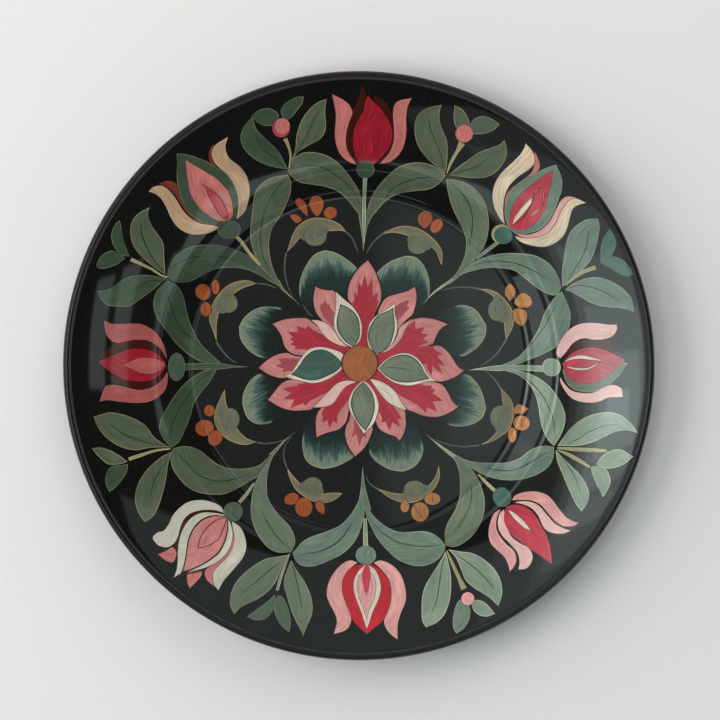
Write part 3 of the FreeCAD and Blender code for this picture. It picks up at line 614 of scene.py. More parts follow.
PAINTING["tulip_north_east"] = [
    blade("pink", (74, 72), [(74, 84), (76, 89), (80, 93), (86, 97), (88.5, 101), (88.8, 106)],
          (88.7, 110), [(91.3, 104), (91.3, 100.5), (89.5, 98.3), (86, 96.3), (80, 93), (76, 88), (75, 80)]),
    blade("cream", (74.3, 71.3), [(71, 75.5), (68.5, 81), (67.7, 87), (69, 93), (72, 98), (76.5, 102.5),
            (81, 107), (83.3, 110.5)],
          (84.3, 113.5), [(87.5, 110), (89, 106), (88.5, 102.5), (85.5, 99.5), (81, 96.5), (77, 92.5),
            (74.5, 88), (73.4, 82), (73.4, 76)]),
    blade("sage_blue", (75.5, 71.5), [(73.9, 78), (75, 85), (78, 90.5), (83, 94.5), (89, 98), (94.5, 100.8)],
          (99.7, 102.6), [(102.6, 96), (102.8, 90), (101, 84.5), (99, 79), (96, 73.5), (91, 69), (84, 67),
            (79, 67.5)]),
    blade("rose_red", (76.5, 70), [(76.6, 76), (79, 83), (83.5, 89), (90, 94.3)],
          (98.2, 99.8), [(97.5, 94), (96, 88), (95, 82), (92.5, 76.5), (88, 71.5), (82, 69)]),
    blade("cream", (77.5, 71), [(79, 75.5), (82.5, 80.5), (86, 84.3)],
          (88, 86), [(87.3, 82.5), (84, 78), (80.5, 74)]),
    line("garnet", (78.5, 71.5, 0.2), (83, 75, 0.5), (86, 79.5, 0.6), (88.3, 84.8, 0.5), (88.7, 88, 0.2)),
    line("pink", (86.5, 76, 0.3), (89.5, 78.3, 2.4), (92, 80, 0.3)),
    line("pink", (89, 86.5, 0.2), (90, 89.5, 0.8), (92.5, 90.3, 0.5), (93.6, 86, 0.7), (93, 80.5, 0.2)),
    blade("blush", (79, 67.2), [(86, 66.8), (92, 69), (97, 74), (100, 80), (102.5, 84.5), (105.5, 86.5)],
          (109.8, 86), [(108.5, 85), (105, 83), (102.5, 79), (100, 73.5), (96, 68), (91, 65), (84, 65)]),
    blade("cream", (78.5, 66.3), [(84, 65), (91, 65.4), (96, 68), (100, 73), (102.5, 78.8), (105.5, 83.3),
            (109.5, 85.6)],
          (115.2, 83.2), [(110.5, 81.8), (108, 79.5), (107, 76), (105.5, 70), (103.5, 66), (99.5, 62.5),
            (94, 60.5), (88, 61), (82, 63)]),
    dot("ochre_pale", 72.4, 66.8, 5.1, 5.1),
    dot("teal", 73.4, 66.2, 4.6, 4.6),
]

PAINTING["tulip_east"] = [
    blade("maroon", (104, 4), [(107.5, 10), (113, 13), (120, 13.5), (126, 13), (130, 10)],
          (133.5, 4.8), [(127, 7.3), (121, 9.2), (115, 9), (110, 7.2)]),
    blade("sage", (103.5, -2), [(108, 0), (116, 2), (126, 3)],
          (136.5, 1.8), [(133.5, -3), (130, -7), (126, -10.3), (121, -12.8), (116, -13.3), (111, -12.8),
            (107, -10.5), (104.5, -6.5)]),
    blade("shell", (102.5, 3.5), [(100.5, 6), (101.5, 11), (104.5, 16), (109, 20), (114, 21.8), (120, 22),
            (126, 21.3)],
          (130.8, 21.3), [(131, 19), (129.5, 16), (126, 14), (120, 13.3), (114, 14), (109, 11.5),
            (105.5, 7)]),
    blade("shell", (102.5, -5.8), [(104.5, -9), (108, -12.5), (113, -13.8), (119, -13.6), (124, -11),
            (128, -9.5), (131, -9.8), (133.5, -11.5)],
          (134, -15.5), [(131, -15.8), (127, -16), (123, -17.8), (119, -18.8), (113, -18.5), (108, -16.5),
            (104.5, -12.5), (102.3, -8)]),
    blade("rose", (103.5, 0.8), [(106, 4.3), (110, 7.2), (115, 9), (121, 9.2), (127, 7.3), (131, 5.3)],
          (135.5, 3.3), [(131.5, 0), (128, -3.5), (123, -7), (118, -8.7), (112, -8.8), (108, -7),
            (105.5, -4)]),
    line("white", (104.5, 1.8, 0.4), (108, 3.6, 1.4), (113, 4.5, 2), (118, 3.8, 1.6), (123.5, 2.8, 0.4)),
    line("white", (104.5, 0, 0.3), (108, -1.2, 1), (112, -1.8, 1.2), (116, -1.5, 1), (119.5, 0, 0.8),
         (122.5, 1.7, 0.3)),
    dot("sage_pale", 98, -1, 4.7, 4.7),
]

PAINTING["tulip_south_west"] = [
    blade("maroon", (-68, -76), [(-74, -74.3), (-80, -74.2), (-85.5, -75.7), (-89, -78.5), (-91.5, -84)],
          (-94, -91.5), [(-92.3, -92), (-90.5, -86), (-88, -80.5), (-84, -76.8), (-79, -75.2),
            (-73, -75.5)]),
    blade("pink", (-92.6, -95.5), [(-94.5, -92.3), (-98, -94)],
          (-102.2, -95.8), [(-98.5, -98.8), (-94.5, -100)]),
    blade("pink", (-84, -104), [(-80.3, -104.5), (-80.5, -107.5)],
          (-86, -113.3), [(-87.3, -110), (-87.2, -105.5)]),
    blade("maroon", (-80, -104), [(-78.5, -104.5)], (-93.5, -107.3), [(-87, -105.5)]),
    blade("pink", (-65, -80), [(-63.6, -87), (-64.2, -93), (-67.5, -98.5), (-72, -103), (-74, -108)],
          (-73, -113), [(-77.5, -109), (-78.3, -104.5), (-75, -102), (-70, -99), (-66.5, -94.5),
            (-65, -88)]),
    blade("ivory", (-68.5, -75.5), [(-74, -74), (-80, -74), (-85.5, -75.5), (-89, -78.5), (-91, -83),
            (-92, -87), (-94, -90.5), (-97.5, -92.5)],
          (-102, -91.5), [(-105, -87.5), (-102.5, -84.8), (-99.5, -84), (-97, -81), (-94.5, -76),
            (-90.5, -71.8), (-86, -69.3), (-80, -68.7), (-75, -69.7), (-70.5, -72)]),
    blade("ivory", (-68, -76.5), [(-73, -75.4), (-79, -75), (-84, -76.7), (-88, -80.5), (-90.7, -86),
            (-92, -92), (-92.3, -99), (-92.7, -103.5)],
          (-94.3, -107.8), [(-90, -105.4), (-85, -104.4), (-79, -103.3), (-73, -100.8), (-68.7, -97.5),
            (-65.7, -93), (-64.3, -88), (-64.5, -84), (-65.7, -80)]),
    blade("petal_pink", (-67.5, -77.5), [(-72, -76.7), (-77, -77.4), (-81.5, -80), (-85, -84.5), (-87, -90),
            (-87.8, -96), (-88.8, -101)],
          (-90, -105), [(-86, -104), (-81, -102), (-75.5, -98.8), (-71, -95), (-68.4, -90), (-67, -85),
            (-66.8, -81)]),
    line("rose", (-68, -77.7, 0.4), (-73, -79.3, 0.6), (-78, -83.5, 0.6), (-81, -88.5, 0.6),
         (-82, -93, 0.5)),
    line("rose", (-67.5, -79, 0.3), (-69.3, -84, 0.5), (-72, -89, 0.5), (-77, -92, 0.5), (-82, -93, 0.3)),
    blade("ivory", (-65, -79.5), [(-60.5, -82.5), (-58, -87.5), (-57.3, -93), (-59, -98), (-62, -102),
            (-66, -106.5), (-69, -110)],
          (-71.5, -114.5), [(-74, -111), (-74.3, -106), (-72, -102.6), (-67.5, -98.3), (-64.3, -93),
            (-63.5, -88), (-64.3, -83)]),
    line("grey_pale", (-53.5, -61, 1.2), (-57, -66, 1.6), (-61, -70.5, 1.8)),
    dot("sheath", -64.2, -75, 4.9, 4.9),
]

PAINTING["tulip_west"] = [
    blade("maroon", (-98, 3), [(-101.3, 5.5), (-106, 7.7), (-111.3, 8.8), (-117, 8.5), (-122.5, 6.8),
            (-127, 5)],
          (-133, 4.5), [(-130, 7), (-126, 9.5), (-121, 12), (-117, 13), (-112.4, 13.5), (-108, 13.2),
            (-104.6, 11.8), (-101.3, 9), (-99, 6)]),
    blade("maroon", (-98, -3.5), [(-101, -8), (-106, -11.3), (-111, -12.3), (-117, -11.5), (-122, -9.5)],
          (-127, -6), [(-123, -5), (-118, -7.4), (-112, -8), (-106, -7.3), (-101, -4.5)]),
    blade("coral", (-97.3, 2.2), [(-99.1, 5.5), (-101.3, 8.9), (-104.6, 11.5), (-108, 13), (-112.4, 13.3),
            (-116.9, 12.8), (-120.8, 11.9), (-123.6, 11.9), (-126.3, 13.6), (-128.3, 16.7), (-129, 20.6)],
          (-129.3, 23.6), [(-127.6, 22.5), (-125.1, 21.6), (-120.1, 21.5), (-114.5, 21.6), (-110.6, 21.3),
            (-106.8, 19.6), (-103.4, 17.3), (-100.7, 13.4), (-99, 10), (-97.9, 6.1)]),
    blade("coral", (-97.3, -2.5), [(-97.2, -8), (-98.5, -12.5), (-102, -16), (-107, -18.5), (-114, -19),
            (-121, -18.3), (-128, -17.3)],
          (-131.7, -18), [(-129, -10.8), (-125, -9.5), (-119, -10.7), (-113, -12.2), (-108, -12),
            (-103, -9.8), (-99, -6)]),
    blade("red", (-98.3, 0.3), [(-98.6, -1.5), (-101, -4.5), (-106, -7.5), (-112, -8), (-118, -7.4),
            (-123, -5), (-128, -1.5)],
          (-132.2, 2.4), [(-126.8, 4.8), (-122.3, 6.6), (-116.8, 8.4), (-111.3, 8.7), (-105.8, 7.6),
            (-101.3, 5), (-98.8, 2)]),
    blade("coral", (-98.3, 0.4), [(-100.6, -2.3), (-105, -4.1), (-110, -4), (-115.5, -1.6)],
          (-119.6, 0.3), [(-115.6, 2.4), (-111.3, 3.9), (-105.8, 3.8), (-100.8, 2.5)]),
    dot("sheath", -92.8, -1.1, 4.3, 7.3),
]

PAINTING["tulip_north_west"] = [
    blade("rust", (-72, 100), [(-75, 103), (-76, 107), (-75.3, 110.5)],
          (-73.5, 113), [(-73, 109), (-73.5, 105)]),
    blade("rust", (-74, 71.5), [(-79.6, 72.6), (-83.5, 74.5), (-87, 77.5), (-90, 82), (-93, 87),
            (-96.5, 90.7)],
          (-101.2, 93), [(-97.4, 94.3), (-94, 94), (-92.4, 92.5), (-91, 87.8), (-88.5, 83), (-84.8, 78.3),
            (-80.6, 74.5)]),
    blade("sage_dark", (-67, 73), [(-72.4, 71.4), (-77, 72), (-82, 74.5), (-86.5, 78.5), (-89.5, 84),
            (-91.5, 90.5), (-92.2, 97), (-92, 103)],
          (-92, 108.2), [(-87.8, 107.9), (-83.4, 106.7), (-78.9, 105), (-75.5, 103.2), (-71, 100.5),
            (-66.7, 97.5), (-63.9, 93.5), (-62.3, 89.6), (-61.2, 85), (-61.2, 80.6), (-62.5, 76)]),
    blade("sand", (-70.3, 70.7), [(-73.6, 68.5), (-77.5, 67.1), (-82, 66.6), (-86.4, 67.2), (-90.3, 69.2),
            (-93.6, 72.6), (-95.8, 76.6), (-97.4, 80.5), (-99.6, 84.5), (-102.4, 87.3)],
          (-106.4, 89), [(-104, 91.3), (-100.1, 92), (-96.8, 90.2), (-94.1, 87.3), (-91.9, 83.9),
            (-89.7, 80), (-86.9, 76.6), (-83.5, 74), (-79.6, 72.3), (-74.6, 71.5)]),
    blade("sand", (-62.3, 74), [(-61.2, 80.6), (-61.2, 85.1), (-62.3, 89.6), (-63.9, 93.5), (-66.7, 97.5),
            (-70, 100.3), (-72.8, 103.1), (-74.4, 107), (-74.2, 110), (-72, 113)],
          (-66, 116.7), [(-67.4, 112.3), (-67.1, 108.9), (-65.2, 105.3), (-61.8, 102.7), (-58.8, 99.8),
            (-56.4, 95.5), (-55.3, 89), (-56, 83.5), (-58, 78)]),
    blade("pink", (-66.7, 73), [(-72.3, 74.2), (-76.2, 76.5), (-80.7, 80), (-83.5, 84), (-85.4, 88),
            (-86.5, 93), (-87.3, 99.2)],
          (-87.6, 105.1), [(-84.5, 103), (-80.6, 100.7), (-76.7, 98.3), (-72.2, 95.4), (-68.9, 91.9),
            (-66.1, 88.5), (-64.5, 84), (-63.9, 79.4), (-64, 76)]),
    blade("rose", (-66.2, 74.5), [(-69.5, 77), (-72.5, 80.5), (-75, 85), (-77.5, 90)],
          (-79.8, 92.8), [(-75, 90), (-71.1, 86), (-68.3, 81.4), (-66.4, 77.5)]),
    line("garnet", (-66.5, 74.3, 0.3), (-69.6, 76, 0.6), (-72.5, 79.8, 0.6), (-75.3, 85, 0.5),
         (-77.5, 89.5, 0.2)),
    line("garnet", (-75, 90, 0.3), (-71, 86.2, 0.5), (-68, 81.5, 0.5), (-66.2, 77, 0.3)),
    line("ochre_pale", (-50.2, 50.5, 1.2), (-54.1, 54.9, 1.6), (-56.9, 58.4, 1.6), (-59.6, 62.3, 1.6),
         (-62.1, 65.2, 1.6)),
    dot("sage_dark", -65.9, 69, 5.9, 4.9),
]

PAINTING["spray_north_west"] = [
    line("sage_olive", (-27, 26.5, 0.2), (-31.3, 31.5, 0.4), (-35, 34.8, 0.7), (-38.8, 38.5, 1.4),
         (-41.3, 42.6, 2)),
    blade("sage_olive", (-39, 39), [(-46.9, 46.5), (-50.2, 51), (-52.4, 54.4), (-54.1, 58.9), (-55.3, 65),
            (-54.8, 73), (-53.2, 85.9), (-51.3, 90.4), (-47.9, 93.8), (-44, 95.8), (-40.7, 96.5)],
          (-36.2, 97.2), [(-34.5, 94), (-34.3, 90.6), (-35.1, 86.1), (-38.4, 78.1), (-41.2, 73.6),
            (-44, 69.1), (-45.7, 62), (-45.2, 55.5), (-44.1, 50.5), (-42.4, 46), (-40.2, 41.5)]),
    blade("sage_dark", (-39, 39), [(-45.7, 42.6), (-50.2, 45.3), (-55.8, 47.9), (-61.4, 49.1), (-67, 49.2),
            (-72.6, 48.7), (-79.8, 45.7), (-83.7, 43.5), (-87.6, 42.2), (-91.5, 42.3), (-94.8, 43.2)],
          (-97.3, 45.4), [(-96.7, 49), (-95.3, 52.3), (-93.1, 55.6), (-89.7, 58.4), (-85.3, 60.6),
            (-80.3, 61.5), (-74.7, 61.4), (-69.1, 60.6), (-60.8, 58), (-53.5, 53.4), (-47, 47)]),
    line("vein", (-36.2, 96.2, 0.2), (-43.5, 87.2, 0.4), (-48.5, 76, 0.4), (-50.2, 64.6, 0.4),
         (-48.7, 55, 0.4), (-45.2, 46.6, 0.2)),
    line("vein", (-96.7, 47.3, 0.2), (-93.6, 50.6, 0.4), (-89.1, 53.4, 0.4), (-83.6, 55.2, 0.4),
         (-75, 55.5, 0.4), (-66.8, 54.1, 0.4), (-55.7, 50, 0.2)),
]

PAINTING["sprig_west_north"] = [
    blade("sage_olive", (-98.3, 46.3), [(-104.5, 50.6), (-110, 55.6), (-113.9, 60.6), (-115.8, 67),
            (-115, 73.5), (-111.5, 78)],
          (-106, 81), [(-106.8, 77), (-104.9, 71.6), (-102.7, 68.2), (-100.4, 64.8), (-99, 61.5),
            (-98.8, 57), (-98.5, 51.3)]),
    blade("sage_dark", (-98, 44.3), [(-101.7, 41), (-105, 38.2), (-108.9, 35.4), (-112.8, 32.7),
            (-116.1, 30.5), (-120, 30.2), (-124.4, 30.5), (-127.2, 30.9), (-129.7, 32.9), (-131.4, 35.7)],
          (-132.4, 38.8), [(-130, 38.6), (-126.6, 39.3), (-123.3, 41.4), (-120, 43.9), (-116.7, 45.5),
            (-112.2, 46.3), (-107.2, 46.3), (-102.8, 45.6)]),
    blade("sage_dark", (-116, 55.8), [(-120.4, 56.6), (-122.9, 59.4), (-124.6, 62.5), (-125.4, 66),
            (-124.8, 69.2), (-123.4, 72.5)],
          (-121, 74.5), [(-119.6, 68.3), (-119, 63.8), (-117.7, 59.8)]),
    blade("sage_dark", (-118.5, 55), [(-122, 52.2), (-125.4, 50.7), (-128.7, 49.8), (-131.5, 50)],
          (-132.9, 51.2), [(-131.8, 54.4), (-129.8, 56.9), (-126.5, 58.7), (-122.5, 58.6)]),
    line("ochre_pale", (-97.3, 45, 0.8), (-100.6, 46.2, 1), (-105, 49.2, 1.3), (-110, 51.7, 1.5),
         (-115.6, 54.4, 1.8)),
    line("vein", (-98.5, 46.8, 0.2), (-105.3, 56, 0.5), (-109.7, 66.1, 0.5), (-110.5, 74, 0.2)),
    line("vein", (-99.5, 43, 0.2), (-104.5, 43.5, 0.4), (-108.9, 42.1, 0.4), (-117.8, 37.7, 0.2)),
]

PAINTING["spray_west"] = [
    line("sage_dark", (-56, -1.3, 0.3), (-63, -1.2, 1), (-71, -1, 3), (-79, -1, 3.2), (-89.5, -1.4, 3.4)),
    blade("sage_dark", (-70, 0.5), [(-78.5, 0.8), (-84, 3.1), (-89, 6.8), (-93.5, 11.4), (-96.8, 15.9),
            (-100.1, 20.5), (-102.9, 25), (-104.3, 29.5), (-104, 34.5), (-101.7, 39.2)],
          (-97.2, 43.5), [(-92.8, 41), (-90.5, 38), (-89, 34.5), (-87.9, 29), (-86.2, 22.3), (-83.4, 15.6),
            (-80.1, 10.1), (-75.1, 5)]),
    blade("sage_dark", (-72, -2), [(-76, -9), (-80, -14), (-84, -20), (-86, -27), (-88.5, -33),
            (-91.5, -39)],
          (-95.5, -42), [(-99, -38), (-101.5, -33), (-101, -28), (-98, -22), (-94, -16), (-89, -10),
            (-84, -6), (-78, -3)]),
    line("vein", (-97.8, 37.8, 0.2), (-95.6, 31.5, 0.4), (-93.4, 24.2, 0.4), (-89.6, 17.4, 0.4),
         (-80.7, 9.4, 0.2)),
    line("vein", (-76, -4.5, 0.2), (-82, -9, 0.4), (-87, -16, 0.4), (-91.5, -23, 0.4), (-95, -30, 0.4),
         (-96.3, -38, 0.2)),
]

PAINTING["sprig_west_south"] = [
    blade("sage_olive", (-95.5, -42), [(-101, -41.7), (-107, -42), (-113, -43), (-119, -42), (-125, -39),
            (-130, -34.5), (-133, -30)],
          (-134.5, -25.5), [(-131, -24.5), (-126, -23.5), (-119, -25), (-113, -27.5), (-108, -31),
            (-104.5, -36), (-100, -39.5)]),
    blade("sage_olive", (-95.5, -44), [(-97, -50), (-98, -57), (-99.5, -64), (-102, -72), (-105, -77)],
          (-109, -79.5), [(-112, -75), (-113.8, -69), (-113.3, -63), (-111, -57.5), (-107, -52),
            (-101, -47)]),
    line("ochre_pale", (-96, -42.5, 0.6), (-103, -43.3, 1.2), (-110, -45.3, 1.6), (-117, -47.5, 1.8)),
    blade("sage_olive", (-117.5, -48.8), [(-122, -50), (-127, -50), (-130, -48), (-133.5, -44.5)],
          (-135.7, -41.5), [(-131, -41.3), (-126, -43), (-121, -46)]),
    blade("sage_dark", (-117.3, -50), [(-118, -54), (-120.5, -58), (-124, -62)],
          (-126.8, -63.9), [(-128.5, -60), (-128.8, -56), (-127.5, -52.5), (-125.5, -50.8), (-121, -50.5)]),
    line("vein", (-98, -41, 0.2), (-106, -39.7, 0.4), (-113, -37.5, 0.4), (-120, -34.5, 0.4),
         (-127, -29, 0.2)),
    line("vein", (-97, -48, 0.2), (-101, -53, 0.4), (-104.5, -60, 0.4), (-106, -68, 0.2)),
]

PAINTING["spray_south_west"] = [
    line("sage", (-30, -33, 0.2), (-36, -37.5, 0.5), (-40, -41.5, 1.2), (-45, -47, 2.4)),
    blade("sage_olive", (-42, -43.5), [(-50, -56), (-55, -59.5), (-61, -63), (-68, -66), (-76, -66),
            (-83, -64.5), (-88, -61.5), (-92, -57), (-95, -52), (-96, -46)],
          (-94.5, -42.3), [(-89, -41.3), (-84, -42.3), (-80, -44.5), (-76, -48), (-72, -51), (-67, -53),
            (-61, -53.5), (-55, -53), (-50, -51)]),
    blade("sage", (-42, -43.5), [(-45, -50), (-46.5, -56), (-47, -62), (-46.5, -68), (-44, -73), (-40, -78),
            (-36, -82), (-33.5, -86), (-32.5, -91)],
          (-34.5, -95.5), [(-41, -95.7), (-46, -93.5), (-50, -89), (-53, -84), (-55, -77), (-55, -70),
            (-53.5, -63), (-51, -57)]),
    line("vein", (-93, -44, 0.2), (-88, -49.5, 0.4), (-84, -54, 0.4), (-79, -57.5, 0.4), (-72, -59.5, 0.4),
         (-64, -59, 0.4), (-56, -56, 0.2)),
    line("vein", (-49.5, -75, 0.2), (-47, -80, 0.4), (-44, -85, 0.4), (-40, -89.5, 0.4), (-35, -94, 0.2)),
]

PAINTING["flower"] = [
    petal("petal_pink", (1.4, 9), (4.6, 53.4), [(0, 49.5), (-3.6, 44.5), (-5.8, 38.8), (-5.8, 33),
            (-3.6, 30.5), (-1, 22)],
          [(7.8, 48.8), (10.3, 43), (11.7, 37.3), (11.3, 31.6), (10, 29.4), (6, 20)]),
    petal("petal_pink", (9, 6), (28.7, 40), [(24.2, 37.5), (18.5, 35.9), (14.2, 34.5), (11.3, 31.2),
            (9, 24)],
          [(29.7, 35.2), (29.2, 30.2), (27.4, 25.1), (24.2, 22.3), (18, 15)]),
    petal("petal_pink", (-6, 9), (-22.3, 40), [(-23.3, 35.2), (-23.3, 30.9), (-22.2, 26.6), (-19.3, 22.6),
            (-14, 16)],
          [(-18.6, 38.5), (-15, 37.9), (-11.8, 37.2), (-9, 28), (-6, 20)]),
    petal("petal_pink", (-9, -1), (-51.4, -1.8), [(-47.1, 2.2), (-42.2, 5.1), (-37.2, 6.2), (-33.6, 5.4),
            (-29.3, 4.2), (-20, 4)],
          [(-47.1, -4.9), (-42.9, -6.7), (-38.6, -7.4), (-30, -6), (-20, -4)]),
    petal("petal_pink", (8, -3), (54, -3.2), [(50.6, -1), (48.4, 2.2), (45.6, 6.5), (42.7, 9), (39.9, 10),
            (36.7, 9.4), (24, 6)],
          [(49.9, -6.4), (44.9, -8.5), (40.6, -9.2), (35.6, -8.2), (22, -5)]),
    petal("petal_pink", (1, -9), (-1.9, -47.4), [(-4.4, -44.3), (-6.5, -40), (-7.4, -35.7), (-6.8, -31.4),
            (-5.4, -28.9), (-3, -18)],
          [(2.1, -44), (4.9, -40), (6.7, -35.7), (7.4, -31.4), (5, -20)]),
    petal("petal_pink", (4, -9), (20.6, -39.7), [(22.8, -36.5), (24.2, -31.4), (24, -26.4), (23.1, -22.9),
            (15, -13)],
          [(18.5, -37.2), (14.2, -35.7), (10.6, -33.6), (8.5, -30), (6, -19)]),
    petal("petal_pink", (-4, -8.5), (-21.7, -39), [(-22.2, -33.6), (-22.3, -29.3), (-21.5, -25),
            (-20, -22.9), (-12, -13)],
          [(-20, -36.8), (-15, -35), (-10, -33.6), (-7.2, -31), (-5.8, -28.6), (-4, -18)]),
    petal("petal_pink", (9, -3), (51.1, -21.8), [(47.7, -18.6), (45.6, -14.3), (42.7, -10.3), (39.2, -8.9),
            (26, -5)],
          [(47, -24.6), (42, -26.8), (37.7, -27.4), (32, -26.4), (27.7, -24.6), (24.2, -22.9), (14, -12)]),
    petal("petal_pink", (-8, -4), (-46.6, -18.3), [(-43.6, -14.3), (-40, -10), (-36.4, -7.8), (-31.5, -7.1),
            (-20, -4)],
          [(-42.9, -20.7), (-38.6, -22.9), (-33.6, -24), (-28.6, -23.9), (-22.9, -22.5), (-12, -12)]),
    petal("petal_pink", (9, 4.5), (45.9, 20.5), [(39.9, 22.9), (34.2, 24), (29.2, 23.7), (24.2, 21.6),
            (21.3, 18.7), (14, 11)],
          [(42, 18), (39.9, 15.1), (38.4, 11.5), (36.7, 9.7), (24, 6)]),
    petal("petal_pink", (-8, 6), (-44.4, 20.7), [(-40, 22.6), (-35, 23.7), (-30, 23.9), (-25, 23),
            (-15, 14)],
          [(-41.4, 17.3), (-39.3, 13.7), (-38.2, 9.4), (-35.7, 6.2), (-31.5, 4.4), (-20, 4)]),
    dot("flame", 0.5, 0, 17, 16),
    *flames("flame", (3, 9), (3, 24), 4.6, [(2.9, 46), (-0.2, 42.3), (6.7, 44.1), (-2.6, 36.8), (9.6, 36.8),
            (-3.4, 32.3), (10, 33)]),
    *flames("flame", (8, 5), (24, 12), 5, [(28.7, 22.5), (33.5, 19), (35.4, 15.3), (35.6, 11.2),
            (24.5, 20)]),
    *flames("flame", (12, 4), (34, 6), 3.6, [(38.4, 9.4), (42.6, 5.1), (44, -1), (42.6, -5), (37, -6)]),
    *flames("flame", (8, -4), (30, -15), 4.6, [(37.5, -11), (39.4, -13.2), (43, -18.6), (40.2, -24.3),
            (34.4, -25)]),
    *flames("flame", (5, -9), (15, -24), 3.8, [(22, -28), (20.8, -32), (15.6, -33.8), (11.7, -30)]),
    *flames("flame_soft", (1, -20), (0.5, -31), 3, [(-3.6, -37.4), (0.3, -41.7), (3.6, -38)]),
    *flames("flame", (-3, -9), (-14, -22), 3.8, [(-19.3, -26.3), (-18.6, -30), (-15, -32.6),
            (-11.4, -30.4)]),
    *flames("flame", (-7, -5), (-26, -14), 4.4, [(-39, -12.5), (-38.4, -17.8), (-35, -22.5), (-27.5, -21.2),
            (-31, -10)]),
    *flames("flame_soft", (-20, -1), (-34, 0), 3.4, [(-41.6, 3), (-42.4, -1), (-39, -4)]),
    *flames("flame", (-7, 5), (-24, 12), 5, [(-31.7, 19.6), (-36.3, 16.5), (-35.4, 13), (-35, 10.1),
            (-32.9, 8), (-26, 20)]),
    *flames("flame_soft", (14, 20), (21, 28), 3, [(22, 32), (25.5, 33), (26, 29)]),
    *flames("flame_soft", (-12, 20), (-17, 27), 3, [(-17.5, 33), (-19.5, 31), (-15, 31)]),
    petal("shell", (-5.4, 8.8), (-24.7, 22.8), [(-20, 22.4), (-15.8, 20.5), (-12.2, 16.5), (-9.3, 12.2)],
          [(-21.5, 20.1), (-18.6, 15.8), (-15, 12.2), (-10, 9.7)]),
    petal("shell", (-0.4, -8.9), (-23.5, -22.3), [(-20, -18.6), (-15.8, -14.3), (-11.5, -10), (-6.5, -8.2)],
          [(-17.2, -21.8), (-12.9, -20), (-10, -15.7), (-6.5, -11.4)]),
    petal("white", (5.3, -7.4), (24.6, -23.6), [(21.3, -18.6), (19.2, -14.6), (14.9, -10.7), (9.9, -8.2)],
          [(20.6, -22.5), (15.6, -20), (12, -16.4), (8.2, -11.4)]),
    petal("blush", (9.2, 5.4), (27.4, 23.4), [(22.8, 20.5), (20.3, 18), (19.2, 13.7), (15.6, 8.7)],
          [(24.2, 18.7), (22, 13.7), (18.5, 9.4), (14.2, 6.5)]),
    sepal("white", (-3.5, 8.7), (-12, 37.4), [(-7.9, 11.2), (-11.8, 16.5), (-12.8, 21.6), (-12, 27.3),
            (-11.6, 33)],
          [(0.6, 12.2), (1.6, 18), (0.6, 23.7), (-2.9, 29.4), (-7.2, 33)]),
    sepal("white", (7.4, 4.6), (18.3, 31.2), [(4.9, 9.4), (4.2, 15.1), (5.5, 20.8), (9.2, 25.1), (14.2, 28)],
          [(11.3, 6.2), (16.3, 9.4), (18.8, 14.4), (19.8, 20.1), (18.5, 25.1)]),
    sepal("white", (9.3, -2.1), (39.9, -8.7), [(13.5, 2.2), (18.5, 4.9), (23.5, 5.8), (28.5, 4.2),
            (32.4, 0.1), (34.9, -5)],
          [(13.5, -6.4), (18.5, -9.6), (24.9, -11), (31.3, -9.8), (35.6, -8.8)]),
    sepal("white", (2.2, -8.4), (2.6, -35.6), [(-0.4, -10.3), (-3.6, -14.3), (-5.4, -19.3), (-4.7, -23.6),
            (-2.2, -28.2)],
          [(4.9, -10), (8.1, -14.3), (10.1, -20), (9.6, -25), (7.8, -30), (5.2, -32.9)]),
    sepal("white", (-7.9, 0.4), (-38.4, -5.7), [(-7.9, 5.1), (-12.9, 7.6), (-18.6, 8.9), (-24.3, 8.3),
            (-27.9, 5.4), (-31.5, 0.1), (-34.7, -4.6)],
          [(-8.6, -2.4), (-12.9, -6), (-18.6, -8.9), (-24.3, -9.7), (-30, -8.5), (-35, -7.3)]),
    sepal("sepal", (-2.9, 9), (-9.3, 30.3), [(-7.2, 12.2), (-10.4, 17.3), (-11.1, 22.3), (-10, 27.3)],
          [(-0.2, 13), (0.3, 18), (-0.4, 23), (-2.9, 26.9), (-6.5, 29.4)]),
    sepal("sepal", (8.5, 5.4), (17.4, 28.7), [(5.6, 10.1), (4.8, 15.1), (6.3, 20.1), (9.9, 24.8),
            (14.9, 27.3)],
          [(12, 6.5), (15.6, 10.1), (17.4, 15.1), (18.1, 20.1), (17.6, 25.1)]),
    sepal("sepal", (10.3, -2.1), (35.6, -7.1), [(14.2, 1.9), (18.5, 4), (23.5, 4.7), (27.7, 3.3),
            (31.3, -0.3), (33.8, -4.9)],
          [(13.5, -5.3), (18.5, -8.2), (24.2, -9.1), (29.9, -8.5)]),
    sepal("sepal", (2.2, -8.9), (3.5, -33.6), [(-1.5, -12.8), (-3.6, -17.8), (-3.6, -22.1), (-1.5, -27.9),
            (1.4, -31.8)],
          [(4.9, -12.1), (7.1, -16.4), (7.9, -21.4), (7.1, -26.4), (5.3, -30.7)]),
    sepal("sepal_deep", (-8.3, 0.4), (-34.2, -5.1), [(-11.5, 3.7), (-15, 6.2), (-19.3, 7.4), (-23.6, 6.5),
            (-27.2, 3.7), (-30.7, -1.4)],
          [(-10.8, -2.8), (-15, -5.3), (-20, -7.4), (-24.3, -8), (-29.3, -7.1)]),
    line("sepal_line", (-9, -0.4, 0.3), (-16, -0.6, 0.6), (-22, -1.2, 0.6), (-28, -2.7, 0.2)),
    line("sepal_line", (11.5, -2, 0.3), (17, -1.7, 0.6), (23, -2.3, 0.6), (28.5, -3.6, 0.2)),
    dot("flower_heart", 0.5, 0.3, 9.3, 9.3),
]

LEAF_GROUPS = [name for name in PAINTING if name.startswith(("spray_", "sprig_"))]
TULIP_GROUPS = [name for name in PAINTING if name.startswith("tulip_")]


